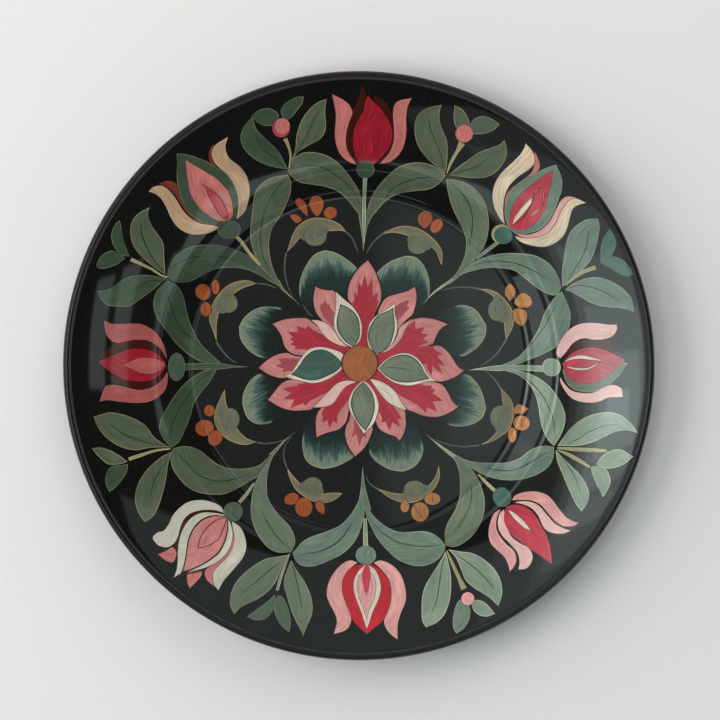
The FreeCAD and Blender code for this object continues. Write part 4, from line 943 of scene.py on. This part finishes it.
class TraySizes(bpy.types.PropertyGroup):
    """The sizes of the pressed pan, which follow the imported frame, and of the paint film."""
    well_radius: bpy.props.FloatProperty(
        name="Well Radius", description="Radius of the flat well", default=84 * MM, unit="LENGTH")
    sheet: bpy.props.FloatProperty(
        name="Sheet", description="Thickness of the pressed sheet", default=0.8 * MM, unit="LENGTH")
    cove_radius: bpy.props.FloatProperty(
        name="Cove Radius", description="Bend from the well up to the wall", default=14 * MM, unit="LENGTH")
    wall_angle: bpy.props.FloatProperty(
        name="Wall Angle", description="Slope of the wall", default=math.radians(28), unit="ROTATION")
    wall_run: bpy.props.FloatProperty(
        name="Wall Run", description="Length of the straight wall", default=8.7 * MM, unit="LENGTH")
    shoulder_radius: bpy.props.FloatProperty(
        name="Shoulder Radius", description="Bend from the wall to the flange",
        default=12 * MM, unit="LENGTH")
    flange_turn: bpy.props.FloatProperty(
        name="Flange Turn", description="How far the flange curves", default=math.radians(8), unit="ROTATION")
    valley_radius: bpy.props.FloatProperty(
        name="Valley Radius", description="Bend from the flange to the lip", default=2.4 * MM, unit="LENGTH")
    lip_angle: bpy.props.FloatProperty(
        name="Lip Angle", description="Slope where the curl begins",
        default=math.radians(62), unit="ROTATION")
    curl_turn: bpy.props.FloatProperty(
        name="Curl Turn", description="How far the rim wraps its wire",
        default=math.radians(262), unit="ROTATION")
    wire_seat: bpy.props.FloatProperty(
        name="Wire Seat", description="Inner radius of the rolled rim", default=1.05 * MM, unit="LENGTH")
    film: bpy.props.FloatProperty(
        name="Paint Film", description="Thickness of one stroke of paint", default=0.02 * MM, unit="LENGTH")


class PaintColours(bpy.types.PropertyGroup):
    """The body colour of each paint on the tray."""
    __annotations__ = {
        name: bpy.props.FloatVectorProperty(
            name=name.replace("_", " ").title(), description=f"Colour of {look[0]}", subtype="COLOR",
            size=3, min=0, max=1, default=shade(look[1]))
        for name, look in PAINTS.items()}


class StudioLights(bpy.types.PropertyGroup):
    """How bright the studio round the tray is."""
    window: bpy.props.FloatProperty(
        name="Window", description="Brightness of the large soft light on the left", default=6.0, min=0)
    ceiling: bpy.props.FloatProperty(
        name="Ceiling", description="Brightness of the panel above the tray", default=0.25, min=0)
    low_lights: bpy.props.FloatProperty(
        name="Low Lights", description="Brightness of the soft lights low at the sides", default=2.9, min=0)
    sky: bpy.props.FloatProperty(
        name="Surroundings", description="Brightness of the grey room", default=1.5, min=0)


class Value:
    """One number that varies over a surface. Sums of such values add their Math nodes."""

    def __init__(self, finish, socket):
        self.finish = finish
        self.socket = socket

    def combine(self, operation, first, second):
        made = self.finish.node("ShaderNodeMath", {"operation": operation}, {0: first, 1: second})
        return Value(self.finish, made.outputs[0])

    def __add__(self, other):
        return self.combine("ADD", self, other)

    def __sub__(self, other):
        return self.combine("SUBTRACT", self, other)

    def __rsub__(self, other):
        return self.combine("SUBTRACT", other, self)

    def __mul__(self, other):
        return self.combine("MULTIPLY", self, other)

    def least(self, other):
        return self.combine("MINIMUM", self, other)

    def rise(self, low, high):
        """Nothing below low and all above high, with a soft step between."""
        made = self.finish.node("ShaderNodeMapRange", {"interpolation_type": "SMOOTHSTEP"},
                                {"Value": self, "From Min": low, "From Max": high})
        return Value(self.finish, made.outputs[0])

    __radd__ = __add__
    __rmul__ = __mul__


class Finish:
    """A material under construction."""

    def __init__(self, name):
        self.material = bpy.data.materials.new(name)
        self.material.use_nodes = True
        self.tree = self.material.node_tree
        self.shader = self.tree.nodes["Principled BSDF"]

    def node(self, kind, settings=None, inputs=None):
        """Adds a node, makes its settings and then fills its sockets."""
        made = self.tree.nodes.new(kind)
        for key, value in (settings or {}).items():
            setattr(made, key, value)
        for key, value in (inputs or {}).items():
            self.feed(made.inputs[key], value)
        return made

    def feed(self, socket, value):
        """Links a varying value to a socket, or sets a constant on it."""
        source = value.socket if isinstance(value, Value) else value
        if isinstance(source, bpy.types.NodeSocket):
            self.tree.links.new(source, socket)
        else:
            socket.default_value = source

    def set(self, **sockets):
        """Fills sockets of the surface's shader by their names, with _ for a space."""
        for key, value in sockets.items():
            self.feed(self.shader.inputs[key.replace("_", " ")], value)

    def blend(self, share, under, over):
        """The colour over laid on the colour under by a share."""
        under, over = ((*colour, 1) if isinstance(colour, tuple) else colour for colour in (under, over))
        made = self.node("ShaderNodeMix", {"data_type": "RGBA"}, {0: share, 6: under, 7: over})
        return made.outputs[2]

    def noise(self, place, scale, detail, roughness=0.6):
        made = self.node("ShaderNodeTexNoise", None, {
            "Vector": place, "Scale": scale, "Detail": detail, "Roughness": roughness})
        return Value(self, made.outputs[0])

    def streaks(self, across, along, seed, detail, roughness=0.6):
        """Noise that is drawn out along a brush stroke."""
        place = self.node("ShaderNodeCombineXYZ", None, {0: across, 1: along, 2: seed})
        return self.noise(place.outputs[0], 1.0, detail, roughness)

    def place(self):
        return self.node("ShaderNodeTexCoord").outputs["Object"]

    def stroke_places(self):
        """The three parts of a stroke's own reach, and its tone, which differs from stroke to stroke."""
        reach = self.node("ShaderNodeAttribute", {"attribute_name": "reach"}).outputs["Vector"]
        parts = self.node("ShaderNodeSeparateXYZ", None, {0: reach})
        tone = self.node("ShaderNodeAttribute", {"attribute_name": "tone"}).outputs["Fac"]
        return [Value(self, socket) for socket in (*parts.outputs, tone)]

    def varnish(self, colour, roughness, coat_roughness):
        """A colour under a clear coat, which alone gives the gloss."""
        self.set(Base_Color=colour, Roughness=roughness, Coat_Weight=1.0, Coat_Roughness=coat_roughness)
        self.set(Specular_IOR_Level=0.0)

    def bump(self, height, depth, strength):
        made = self.node("ShaderNodeBump", None, {"Height": height, "Distance": depth, "Strength": strength})
        self.feed(self.shader.inputs["Normal"], made.outputs[0])


def heading(angle):
    """The way ahead in the section for an angle above level."""
    return Vector((math.cos(angle), math.sin(angle)))


def left_of(angle):
    """The way square to the left of an angle's heading."""
    return Vector((-math.sin(angle), math.cos(angle)))


def flange_fit(sizes):
    """Heading at the flange's foot and radius of its arc, which carry it from the wall up to the wire."""
    bead = sizes.wire_seat + sizes.sheet
    wall_top = Vector((sizes.well_radius, 0)) + heading(sizes.wall_angle) * sizes.wall_run
    wall_top += (left_of(0) - left_of(sizes.wall_angle)) * sizes.cove_radius
    lip_start = Vector((RIM - bead, HEIGHT - bead)) + left_of(sizes.lip_angle) * sizes.wire_seat
    foot = 0
    for _ in range(40):
        start = wall_top + (left_of(foot) - left_of(sizes.wall_angle)) * sizes.shoulder_radius
        end = lip_start - (left_of(foot + sizes.flange_turn) - left_of(sizes.lip_angle)) * sizes.valley_radius
        chord = end - start
        foot = math.atan2(chord.y, chord.x) - sizes.flange_turn / 2
    return foot, chord.length / (2 * math.sin(sizes.flange_turn / 2))


def walk_section(sizes, lift):
    """Points (radius, height) along the sheet's section from the axis out, lifted off its underside."""
    foot, flange_radius = flange_fit(sizes)
    brim = foot + sizes.flange_turn
    bends = [(0, sizes.cove_radius, sizes.wall_angle, 12),
             (sizes.wall_run, sizes.shoulder_radius, foot - sizes.wall_angle, 12),
             (0, flange_radius, sizes.flange_turn, 24),
             (0, sizes.valley_radius, sizes.lip_angle - brim, 8),
             (0, sizes.wire_seat, -sizes.curl_turn, 20)]
    angle, point = 0, Vector((sizes.well_radius, 0))
    line_points = [Vector((sizes.well_radius * share, lift)) for share in (0, 0.25, 0.5, 0.75, 1)]
    for run, radius, turn, steps in bends:
        point = point + heading(angle) * run
        if run:
            line_points.append(point + left_of(angle) * lift)
        hand = math.copysign(radius, turn)
        middle = point + left_of(angle) * hand
        for step in range(1, steps + 1):
            now = angle + turn * step / steps
            line_points.append(middle - left_of(now) * (hand - lift))
        angle += turn
        point = middle - left_of(angle) * hand
    return line_points


def top_surface(sizes):
    """The pan's upper surface as rising radii and their heights, as far as the bead's crown."""
    points = walk_section(sizes, sizes.sheet)
    crown = max(range(len(points)), key=lambda index: points[index].y)
    return [point.x for point in points[:crown]], [point.y for point in points[:crown]]


def surface_height(surface, radius):
    """Height of the pan's upper surface at a radius, in metres."""
    radii, heights = surface
    place = min(max(bisect_right(radii, radius), 1), len(radii) - 1)
    share = (radius - radii[place - 1]) / (radii[place] - radii[place - 1])
    return heights[place - 1] + share * (heights[place] - heights[place - 1])


def start_piece(name):
    """Deselects all and starts an empty mesh piece in edit mode."""
    bpy.ops.object.select_all(action="DESELECT")
    bpy.ops.mesh.primitive_plane_add(size=MM)
    piece = bpy.context.active_object
    piece.name = piece.data.name = name
    bpy.ops.object.mode_set(mode="EDIT")
    bpy.ops.mesh.select_all(action="SELECT")
    bpy.ops.mesh.delete(type="VERT")
    return piece


def finish_piece(piece):
    """Leaves edit mode, smooths what is round and makes the piece ride with the pan."""
    bpy.ops.object.mode_set(mode="OBJECT")
    bpy.ops.object.shade_smooth_by_angle(angle=math.radians(35))
    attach(piece, PAN_BODY)


def smooth_course(places, count):
    """A smooth line through places, as count + 1 points an equal distance apart, and its length."""
    course = [Vector(place) for place in places]
    ends = [2 * course[0] - course[1], *course, 2 * course[-1] - course[-2]]
    fine = [course[0]]
    for a, b, c, d in zip(ends, ends[1:], ends[2:], ends[3:]):
        for step in range(1, 9):
            t = step / 8
            fine.append(0.5 * (2 * b + (c - a) * t + (2 * a - 5 * b + 4 * c - d) * t ** 2
                               + (3 * b - a - 3 * c + d) * t ** 3))
    reach = [0]
    for before, after in zip(fine, fine[1:]):
        reach.append(reach[-1] + (after - before).length)
    if count == 0:
        return [], reach[-1]
    spread = []
    for number in range(count + 1):
        goal = reach[-1] * number / count
        place = min(max(bisect_right(reach, goal), 1), len(reach) - 1)
        gap = reach[place] - reach[place - 1] or 1
        spread.append(fine[place - 1].lerp(fine[place], (goal - reach[place - 1]) / gap))
    return spread, reach[-1]


class PaintLayers:
    """How high the paint already lies over the tray, kept on a grid of small squares."""

    def __init__(self, surface):
        self.surface = surface
        self.heights = {}

    def lay(self, points):
        """Lift for a new stroke over what lies below it. Flat work can be laid in thinner coats."""
        squares = {(round(point.x / SQUARE), round(point.y / SQUARE)) for point in points}
        under = max(self.heights.get(square, FIRST_LIFT) for square in squares)
        flat = all(point.length < FLAT_REACH for point in points)
        lift = under + (FLAT_COAT if flat else CURVED_COAT)
        for square in squares:
            self.heights[square] = lift
        return lift


def hair_places(points, left, right):
    """Where points lie in a round leaf: mm across, mm along, and depth under its rim in hair lengths."""
    base, axis = left[0], (left[-1] - left[0]).normalized()
    rim = [((place - base).cross(axis), (place - base).dot(axis)) for place in (*left, *right[::-1])]
    half = max(abs(side) for side, _ in rim)
    places = []
    for point in points:
        side, along = (point - base).cross(axis), (point - base).dot(axis)
        tops = [along]
        for (side_a, top_a), (side_b, top_b) in zip(rim, rim[1:]):
            if (side_a - side) * (side_b - side) <= 0 and side_a != side_b:
                tops.append(top_a + (side - side_a) / (side_b - side_a) * (top_b - top_a))
        reach = SIDE_HAIR + (LONG_HAIR - SIDE_HAIR) * max(0.0, 1 - (side / half) ** 2)
        places.append((side, along, (max(tops) - along) / reach))
    return places


def wet_sides(left, right, spread):
    """The two sides once the paint has spread, in the order that turns the stroke's faces up."""
    if (left[-1] - right[-1]).length < POINT_WIDTH:
        course = left[-1] - (left[-2] + right[-2]) / 2
        if (left[-2] - right[-2]).length < course.length * POINT_SLENDER:
            left[-1] = right[-1] = left[-1] + course.normalized() * spread * TIP_SPREAD
    for row, (a, b) in enumerate(zip(left, right)):
        if (a - b).length > SPREAD_WIDTH:
            push = (a - b).normalized() * spread
            left[row], right[row] = a + push, b - push
    turned = sum(a.cross(b) for a, b in zip([*left, *right[::-1]], [*left[1:], *right[::-1], left[0]]))
    return (right, left) if turned > 0 else (left, right)


def lay_stroke(mesh, stroke, slot_index, tone, layers):
    """Adds one stroke to the mesh in edit mode: a grid of faces stretched between its two sides."""
    reach = max(Vector(place).length for place in (*stroke["left"], *stroke["right"]))
    cell = FINE_CELL if reach > COARSE_REACH else COARSE_CELL
    length = max(smooth_course(stroke["left"], 0)[1], smooth_course(stroke["right"], 0)[1])
    rows = max(LEAST_ROWS, round(length / cell))
    left, right = (smooth_course(stroke[side], rows)[0] for side in ("left", "right"))
    left, right = wet_sides(left, right, PAINTS[stroke["paint"]][6] * SPREAD)
    width = max((a - b).length for a, b in zip(left, right))
    columns = max(2, min(MOST_COLUMNS, round(width / cell)))
    bpy.ops.mesh.primitive_grid_add(x_subdivisions=columns, y_subdivisions=rows, size=MM)
    points = [a.lerp(b, column / columns) for a, b in zip(left, right) for column in range(columns + 1)]
    lift = layers.lay(points)
    hairs = hair_places(points, left, right) if stroke["paint"] == "pine" else None
    work = bmesh.from_edit_mesh(mesh)
    reach_layer = work.verts.layers.float_vector["reach"]
    tone_layer = work.verts.layers.float["tone"]
    work.verts.ensure_lookup_table()
    first = len(work.verts) - len(points)
    for number, point in enumerate(points):
        row, column = divmod(number, columns + 1)
        vert = work.verts[first + number]
        height = surface_height(layers.surface, point.length * MM) + lift * MM
        vert.co = (point.x * MM, point.y * MM, height)
        span = (right[row] - left[row]).length
        across = (span * column / columns, span * (1 - column / columns), length * row / rows)
        vert[reach_layer] = hairs[number] if hairs else across
        vert[tone_layer] = tone
    for face in work.faces:
        if face.select:
            face.material_index = slot_index
    bmesh.update_edit_mesh(mesh)


def round_leaf_finish():
    """Dark teal that fades into the ground at its root, with pale hairs brushed in from its rim."""
    finish = Finish("paint_pine")
    body = tuple(bpy.context.scene.paint_colours.pine)
    side, along, depth, tone = finish.stroke_places()
    fine = finish.streaks(side * 2.6, along * 0.16, tone * 31, 3, 0.7)
    tuft = finish.streaks(side * 0.55, along * 0.07, tone * 17, 2)
    edge = depth + (fine - 0.5) * 1.5 + (tuft - 0.5) * 1.1
    colour = finish.blend(fine.rise(0.4, 0.65) * 0.5, body, shade("#152c29"))
    colour = finish.blend(1 - along.rise(3, 15), colour, shade("#101714"))
    colour = finish.blend(1 - edge.rise(0.55, 1.35), colour, shade("#3a5851"))
    pale = finish.blend(fine.rise(0.35, 0.65), shade("#808d7b"), shade("#657765"))
    colour = finish.blend(1 - edge.rise(0.3, 0.75), colour, pale)
    colour = finish.blend((1 - depth.rise(0.02, 0.075)) * 0.7, colour, shade("#b8a57e"))
    finish.varnish(colour, 0.5, 0.05)
    finish.bump(fine, 0.03 * MM, 0.6)
    return finish.material


def paint_finish(name):
    """An oil paint under clear lacquer, with brush streaks along the stroke and lines at its edges."""
    found = bpy.data.materials.get(f"paint_{name}")
    if found:
        return found
    if name == "pine":
        return round_leaf_finish()
    _, _, streak, edge, edge_width, outline, outline_width = PAINTS[name]
    body = tuple(getattr(bpy.context.scene.paint_colours, name))
    finish = Finish(f"paint_{name}")
    from_left, from_right, along, tone = finish.stroke_places()
    bristles = finish.streaks(from_left * 1.9, along * 0.08, tone * 40, 4, 0.7)
    load = finish.streaks(from_left * 0.12, along * 0.05, tone * 23, 2)
    colour = finish.blend(bristles.rise(0.36, 0.66), body, shade(streak))
    paler = tuple(min(1.0, part * 1.35) for part in body)
    colour = finish.blend(load.rise(0.5, 0.78) * 0.55, colour, paler)
    darker = tuple(part * 0.62 for part in body)
    colour = finish.blend(load.rise(0.46, 0.2) * 0.6, colour, darker)
    near = from_left.least(from_right) + (bristles - 0.5) * 0.25
    edge_paint = (1 - near.rise(edge_width * 0.7, edge_width * 1.25)) * (load.rise(0.25, 0.55) * 0.8)
    colour = finish.blend(edge_paint, colour, shade(edge))
    colour = finish.blend(1 - near.rise(outline_width * 0.7, outline_width * 1.3), colour, shade(outline))
    finish.varnish(colour, 0.5, 0.05)
    finish.bump(bristles, 0.03 * MM, 0.6)
    return finish.material


def lacquer_finish():
    """Deep black lacquer, brushed on in fine greenish strokes, with dust and a few rubbing scratches."""
    finish = Finish("black_lacquer")
    place = finish.place()
    dust = finish.noise(place, 1300, 2).rise(0.72, 0.8)
    cloud = finish.noise(place, 22, 3).rise(0.35, 0.75)
    sweep = finish.node("ShaderNodeVectorMath", {"operation": "MULTIPLY_ADD"}, {
        0: finish.node("ShaderNodeTexNoise", None, {"Vector": place, "Scale": 14.0}).outputs[1],
        1: (0.03, 0.03, 0), 2: place})
    brushed = finish.node("ShaderNodeMapping", None, {
        "Vector": sweep.outputs[0], "Rotation": (0, 0, 0.7), "Scale": (1, 0.16, 1)})
    strokes = finish.noise(brushed.outputs[0], 1500, 3).rise(0.52, 0.75)
    crossed = finish.node("ShaderNodeMapping", None, {
        "Vector": sweep.outputs[0], "Rotation": (0, 0, -0.9), "Scale": (1, 0.05, 1)})
    rubbing = finish.noise(crossed.outputs[0], 1200, 2).rise(0.66, 0.8)
    colour = finish.blend(cloud * 0.6, (0.003, 0.0034, 0.0028), (0.006, 0.0068, 0.0056))
    colour = finish.blend(strokes * 0.4, colour, (0.02, 0.025, 0.021))
    colour = finish.blend(dust * 0.25, colour, (0.06, 0.06, 0.05))
    colour = finish.blend(rubbing * 0.1, colour, (0.08, 0.08, 0.08))
    finish.varnish(colour, cloud * 0.08 + 0.3, 0.04)
    finish.bump(strokes, 0.008 * MM, 0.4)
    return finish.material


def steel_finish():
    """Drawn steel wire, bright with fine die lines and a few dull spots."""
    finish = Finish("drawn_steel")
    place = finish.place()
    dull = finish.noise(place, 420, 4).rise(0.4, 0.7)
    colour = finish.blend(dull * 0.5, (0.52, 0.52, 0.5), (0.3, 0.29, 0.27))
    finish.set(Base_Color=colour, Metallic=1.0, Roughness=dull * 0.2 + 0.24)
    finish.bump(finish.noise(place, 2600, 2), 0.02 * MM, 0.4)
    return finish.material


def floor_finish():
    """Plain pale paper."""
    finish = Finish("pale_paper")
    fibre = finish.noise(finish.place(), 260, 3)
    finish.set(Base_Color=finish.blend(fibre * 0.25, (0.88, 0.88, 0.87), (0.82, 0.82, 0.81)), Roughness=0.85)
    finish.bump(fibre, 0.05 * MM, 0.2)
    return finish.material


class TRAY_OT_pan(bpy.types.Operator):
    """Spin the pressed pan with its rolled rim and lacquer it"""
    bl_idname = "tray.pan"
    bl_label = "Pressed Pan"

    def execute(self, context):
        sizes = context.scene.tray_sizes
        under, top = walk_section(sizes, 0), walk_section(sizes, sizes.sheet)
        outline = [*under, *top[::-1]]
        pan = start_piece("lacquered_pan")
        bpy.ops.mesh.primitive_circle_add(vertices=len(outline), radius=RIM)
        work = bmesh.from_edit_mesh(pan.data)
        work.verts.ensure_lookup_table()
        for vert, point in zip(work.verts, outline):
            vert.co = (point.x, 0, point.y)
        for edge in work.edges:
            edge.select = all(vert.co.x < 0.1 * MM for vert in edge.verts)
        bmesh.update_edit_mesh(pan.data)
        bpy.ops.mesh.select_mode(type="EDGE")
        bpy.ops.mesh.delete(type="EDGE")
        bpy.ops.mesh.select_all(action="SELECT")
        bpy.ops.mesh.spin(steps=256, angle=math.tau, center=(0, 0, 0), axis=(0, 0, 1))
        bpy.ops.mesh.select_all(action="SELECT")
        bpy.ops.mesh.remove_doubles(threshold=0.002 * MM)
        bpy.ops.mesh.select_all(action="SELECT")
        bpy.ops.mesh.normals_make_consistent(inside=False)
        pan.data.materials.append(lacquer_finish())
        finish_piece(pan)
        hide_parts("tray_pan")
        return {"FINISHED"}


class TRAY_OT_hanger(bpy.types.Operator):
    """Give the rim wire, the hanger strap and its wire bail their finishes"""
    bl_idname = "tray.hanger"
    bl_label = "Rim Wire and Hanger"

    def execute(self, context):
        steel = steel_finish()
        lacquer = bpy.data.materials["black_lacquer"]
        for node_name, finish in (("rim_wire", steel), ("bail_strap", lacquer), ("hanging_bail", steel)):
            node = frame["nodes"][node_name]
            node.data.materials.clear()
            node.data.materials.append(finish)
        return {"FINISHED"}


def paint_group(context, group, layers):
    """Lays all the strokes of one group as one piece."""
    strokes = PAINTING[group]
    piece = start_piece(f"painted_{group}")
    work = bmesh.from_edit_mesh(piece.data)
    work.verts.layers.float_vector.new("reach")
    work.verts.layers.float.new("tone")
    bmesh.update_edit_mesh(piece.data)
    paints = list(dict.fromkeys(stroke["paint"] for stroke in strokes))
    for paint in paints:
        piece.data.materials.append(paint_finish(paint))
    dice = random.Random(group)
    for stroke in strokes:
        lay_stroke(piece.data, stroke, paints.index(stroke["paint"]), dice.random(), layers)
    bpy.ops.mesh.select_all(action="SELECT")
    bpy.ops.object.mode_set(mode="OBJECT")
    film = piece.modifiers.new("film", "SOLIDIFY")
    film.thickness = context.scene.tray_sizes.film * FILM_SHARE
    film.offset = -1
    bpy.ops.object.modifier_apply(modifier=film.name)
    finish_piece(piece)


LAYERS = []


def layers_for(context):
    """The one record of paint heights that every painting step shares."""
    if not LAYERS:
        LAYERS.append(PaintLayers(top_surface(context.scene.tray_sizes)))
    return LAYERS[0]


class TRAY_OT_round_leaves(bpy.types.Operator):
    """Paint the dark round leaves with pale hairs behind the flower"""
    bl_idname = "tray.round_leaves"
    bl_label = "Round Leaves"

    def execute(self, context):
        paint_group(context, "halo", layers_for(context))
        return {"FINISHED"}


class TRAY_OT_leaf_sprays(bpy.types.Operator):
    """Paint the leaf sprays and the sprigs at the rim"""
    bl_idname = "tray.leaf_sprays"
    bl_label = "Leaf Sprays and Sprigs"

    def execute(self, context):
        for group in LEAF_GROUPS:
            paint_group(context, group, layers_for(context))
        return {"FINISHED"}


class TRAY_OT_tulips(bpy.types.Operator):
    """Paint the ring of tulips"""
    bl_idname = "tray.tulips"
    bl_label = "Tulips"

    def execute(self, context):
        for group in TULIP_GROUPS:
            paint_group(context, group, layers_for(context))
        return {"FINISHED"}


class TRAY_OT_curls(bpy.types.Operator):
    """Paint the curled leaves with their berries"""
    bl_idname = "tray.curls"
    bl_label = "Curled Leaves and Berries"

    def execute(self, context):
        for group in ("curls", "berries"):
            paint_group(context, group, layers_for(context))
        return {"FINISHED"}


class TRAY_OT_flower(bpy.types.Operator):
    """Paint the large flower in the well"""
    bl_idname = "tray.flower"
    bl_label = "Large Flower"

    def execute(self, context):
        paint_group(context, "flower", layers_for(context))
        return {"FINISHED"}


# the window is copies of one light, each smaller and brighter than the last, so that its edge is soft
WINDOW_LAYERS = 6

# the other lights: name, place, aim, width, length and share of one of the studio's brightnesses
SOFT_LIGHTS = (
    ("left_haze", (-0.95, -0.15, 1.9), (0, 0, 0), 2.0, 1.5, 1.2, "ceiling"),
    ("left_low_haze", (-1.7, 0.3, 1.25), (0, 0, 0), 3.0, 1.0, 1.0, "ceiling"),
    ("left_low_strip", (-1.5, 0.05, 1.26), (0, 0, 0), 2.2, 0.3, 0.22, "window"),
    ("low_left_light", (-2.6, 0.5, 1.3), (0, 0, 0), 2.6, 2.6, 1.0, "low_lights"),
    ("low_back_light", (0.6, 2.7, 1.3), (0, 0, 0), 2.6, 2.6, 0.5, "low_lights"),
    ("ceiling_light", (0, -0.27, 3.05), (0, -0.27, 0), 0.5, 0.5, 1.0, "ceiling"),
    ("right_ceiling", (0.2, -0.27, 3.04), (0.2, -0.27, 0), 0.36, 0.7, 1.3, "ceiling"),
    ("right_haze", (0.23, -0.25, 3.02), (0.23, -0.25, 0), 0.28, 0.6, 1.3, "ceiling"),
    ("back_panel", (-0.1, 0.95, 3.1), (-0.1, 0.95, 0), 2.4, 1.3, 1.9, "ceiling"),
    ("back_low_haze", (0, 1.9, 1.7), (0, 0, 0), 3.2, 1.8, 1.2, "ceiling"),
    ("front_bar", (0.05, -0.68, 3.0), (0.05, -0.68, 0), 0.95, 0.34, 5, "ceiling"),
    ("right_bar", (0.5, -0.35, 3.0), (0.5, -0.35, 0), 0.16, 0.55, 4, "ceiling"),
    ("front_high_light", (0.1, -1.35, 1.5), (0, 0, 0), 1.2, 0.2, 3, "ceiling"),
    ("front_right_haze", (0.95, -1.25, 1.1), (0, 0, 0), 1.0, 0.44, 1.0, "ceiling"),
    ("front_right_light", (0.93, -1.22, 1.1), (0, 0, 0), 0.7, 0.28, 1.6, "ceiling"),
    ("right_near_strip", (0.385, -0.21, 1.5), (-0.12, -0.21, 0), 0.22, 0.07, 0.16, "window"),
    ("right_far_strip", (0.49, -0.21, 1.5), (-0.12, -0.21, 0), 0.22, 0.07, 0.16, "window"),
)


def soft_light(name, place, aim, width, length, brightness, colour):
    """A soft rectangular light that faces a point, wide across its aim and long up its slope."""
    lamp = bpy.data.lights.new(name, "AREA")
    lamp.shape = "RECTANGLE"
    lamp.size, lamp.size_y = width, length
    lamp.energy = brightness * math.pi * width * length
    lamp.color = colour
    holder = bpy.data.objects.new(name, lamp)
    holder.location = place
    holder.rotation_mode = "QUATERNION"
    holder.rotation_quaternion = (Vector(aim) - Vector(place)).to_track_quat("-Z", "Y")
    bpy.context.scene.collection.objects.link(holder)
    return holder


class TRAY_OT_studio(bpy.types.Operator):
    """Set the floor, the soft lights, the grey room and the camera"""
    bl_idname = "tray.studio"
    bl_label = "Studio"

    def execute(self, context):
        scene = context.scene
        bpy.ops.object.select_all(action="DESELECT")
        bpy.ops.mesh.primitive_plane_add(size=8)
        floor = context.active_object
        floor.name = "floor"
        floor.data.materials.append(floor_finish())
        lights = scene.studio_lights
        for step in range(WINDOW_LAYERS):
            shrink = 1 - step * 0.16
            place = (-0.52 + step * 0.006, -0.12 + step * 0.012, 1.5 + step * 0.002)
            brightness = lights.window * (0.05 + 0.045 * step)
            soft_light(f"window_light_{step + 1}", place, (0.12, 0, 0),
                       1.0 * shrink ** 1.6, 0.5 * shrink, brightness, COOL)
        for name, place, aim, width, length, share, source in SOFT_LIGHTS:
            low = source == "low_lights"
            brightness = getattr(lights, source) * share
            lamp = soft_light(name, place, aim, width, length, brightness, WARM if low else COOL)
            lamp.visible_glossy = not low
        world = bpy.data.worlds.new("grey_room")
        world.use_nodes = True
        room = world.node_tree
        way = room.nodes.new("ShaderNodeTexCoord")
        parts = room.nodes.new("ShaderNodeSeparateXYZ")
        room.links.new(way.outputs["Generated"], parts.inputs[0])
        fade = room.nodes.new("ShaderNodeMapRange")
        fade.interpolation_type = "SMOOTHSTEP"
        fades = {"From Min": 0.5, "From Max": 0.12, "To Min": lights.sky * 0.05, "To Max": lights.sky}
        for key, value in fades.items():
            fade.inputs[key].default_value = value
        room.links.new(parts.outputs["Z"], fade.inputs["Value"])
        room.links.new(fade.outputs[0], room.nodes["Background"].inputs["Strength"])
        room.nodes["Background"].inputs["Color"].default_value = (1, 1, 1, 1)
        scene.world = world
        scene.view_settings.view_transform = "Standard"
        tilt, distance = math.radians(5), 3.0
        target = Vector((0.59, 3.55, 16.5)) * MM
        back = Vector((0, math.sin(tilt), math.cos(tilt)))
        lens = bpy.data.cameras.new("camera")
        lens.sensor_width, lens.lens = 36, 295.9
        camera = bpy.data.objects.new("camera", lens)
        camera.location = target + back * distance
        camera.rotation_euler = (-tilt, 0, 0)
        scene.collection.objects.link(camera)
        scene.camera = camera
        return {"FINISHED"}


class TRAY_PT_steps(bpy.types.Panel):
    """The steps that build the painted tray"""
    bl_idname = "TRAY_PT_steps"
    bl_label = "Painted Tray"
    bl_space_type = "VIEW_3D"
    bl_region_type = "UI"
    bl_category = "Painted Tray"

    def draw(self, context):
        for step in STEPS:
            self.layout.operator(step.bl_idname)
        for group in (context.scene.tray_sizes, context.scene.paint_colours, context.scene.studio_lights):
            for name in group.__annotations__:
                self.layout.prop(group, name)


STEPS = (TRAY_OT_pan, TRAY_OT_hanger, TRAY_OT_round_leaves, TRAY_OT_leaf_sprays, TRAY_OT_tulips,
         TRAY_OT_curls, TRAY_OT_flower, TRAY_OT_studio)
CLASSES = (TraySizes, PaintColours, StudioLights, *STEPS, TRAY_PT_steps)


def register():
    for kind in CLASSES:
        bpy.utils.register_class(kind)
    bpy.types.Scene.tray_sizes = bpy.props.PointerProperty(type=TraySizes)
    bpy.types.Scene.paint_colours = bpy.props.PointerProperty(type=PaintColours)
    bpy.types.Scene.studio_lights = bpy.props.PointerProperty(type=StudioLights)


def unregister():
    del bpy.types.Scene.studio_lights
    del bpy.types.Scene.paint_colours
    del bpy.types.Scene.tray_sizes
    for kind in reversed(CLASSES):
        bpy.utils.unregister_class(kind)


def main():
    register()
    bpy.ops.tray.pan()
    bpy.ops.tray.hanger()
    bpy.ops.tray.round_leaves()
    bpy.ops.tray.leaf_sprays()
    bpy.ops.tray.tulips()
    bpy.ops.tray.curls()
    bpy.ops.tray.flower()
    bpy.ops.tray.studio()


if __name__ == "__main__":
    main()
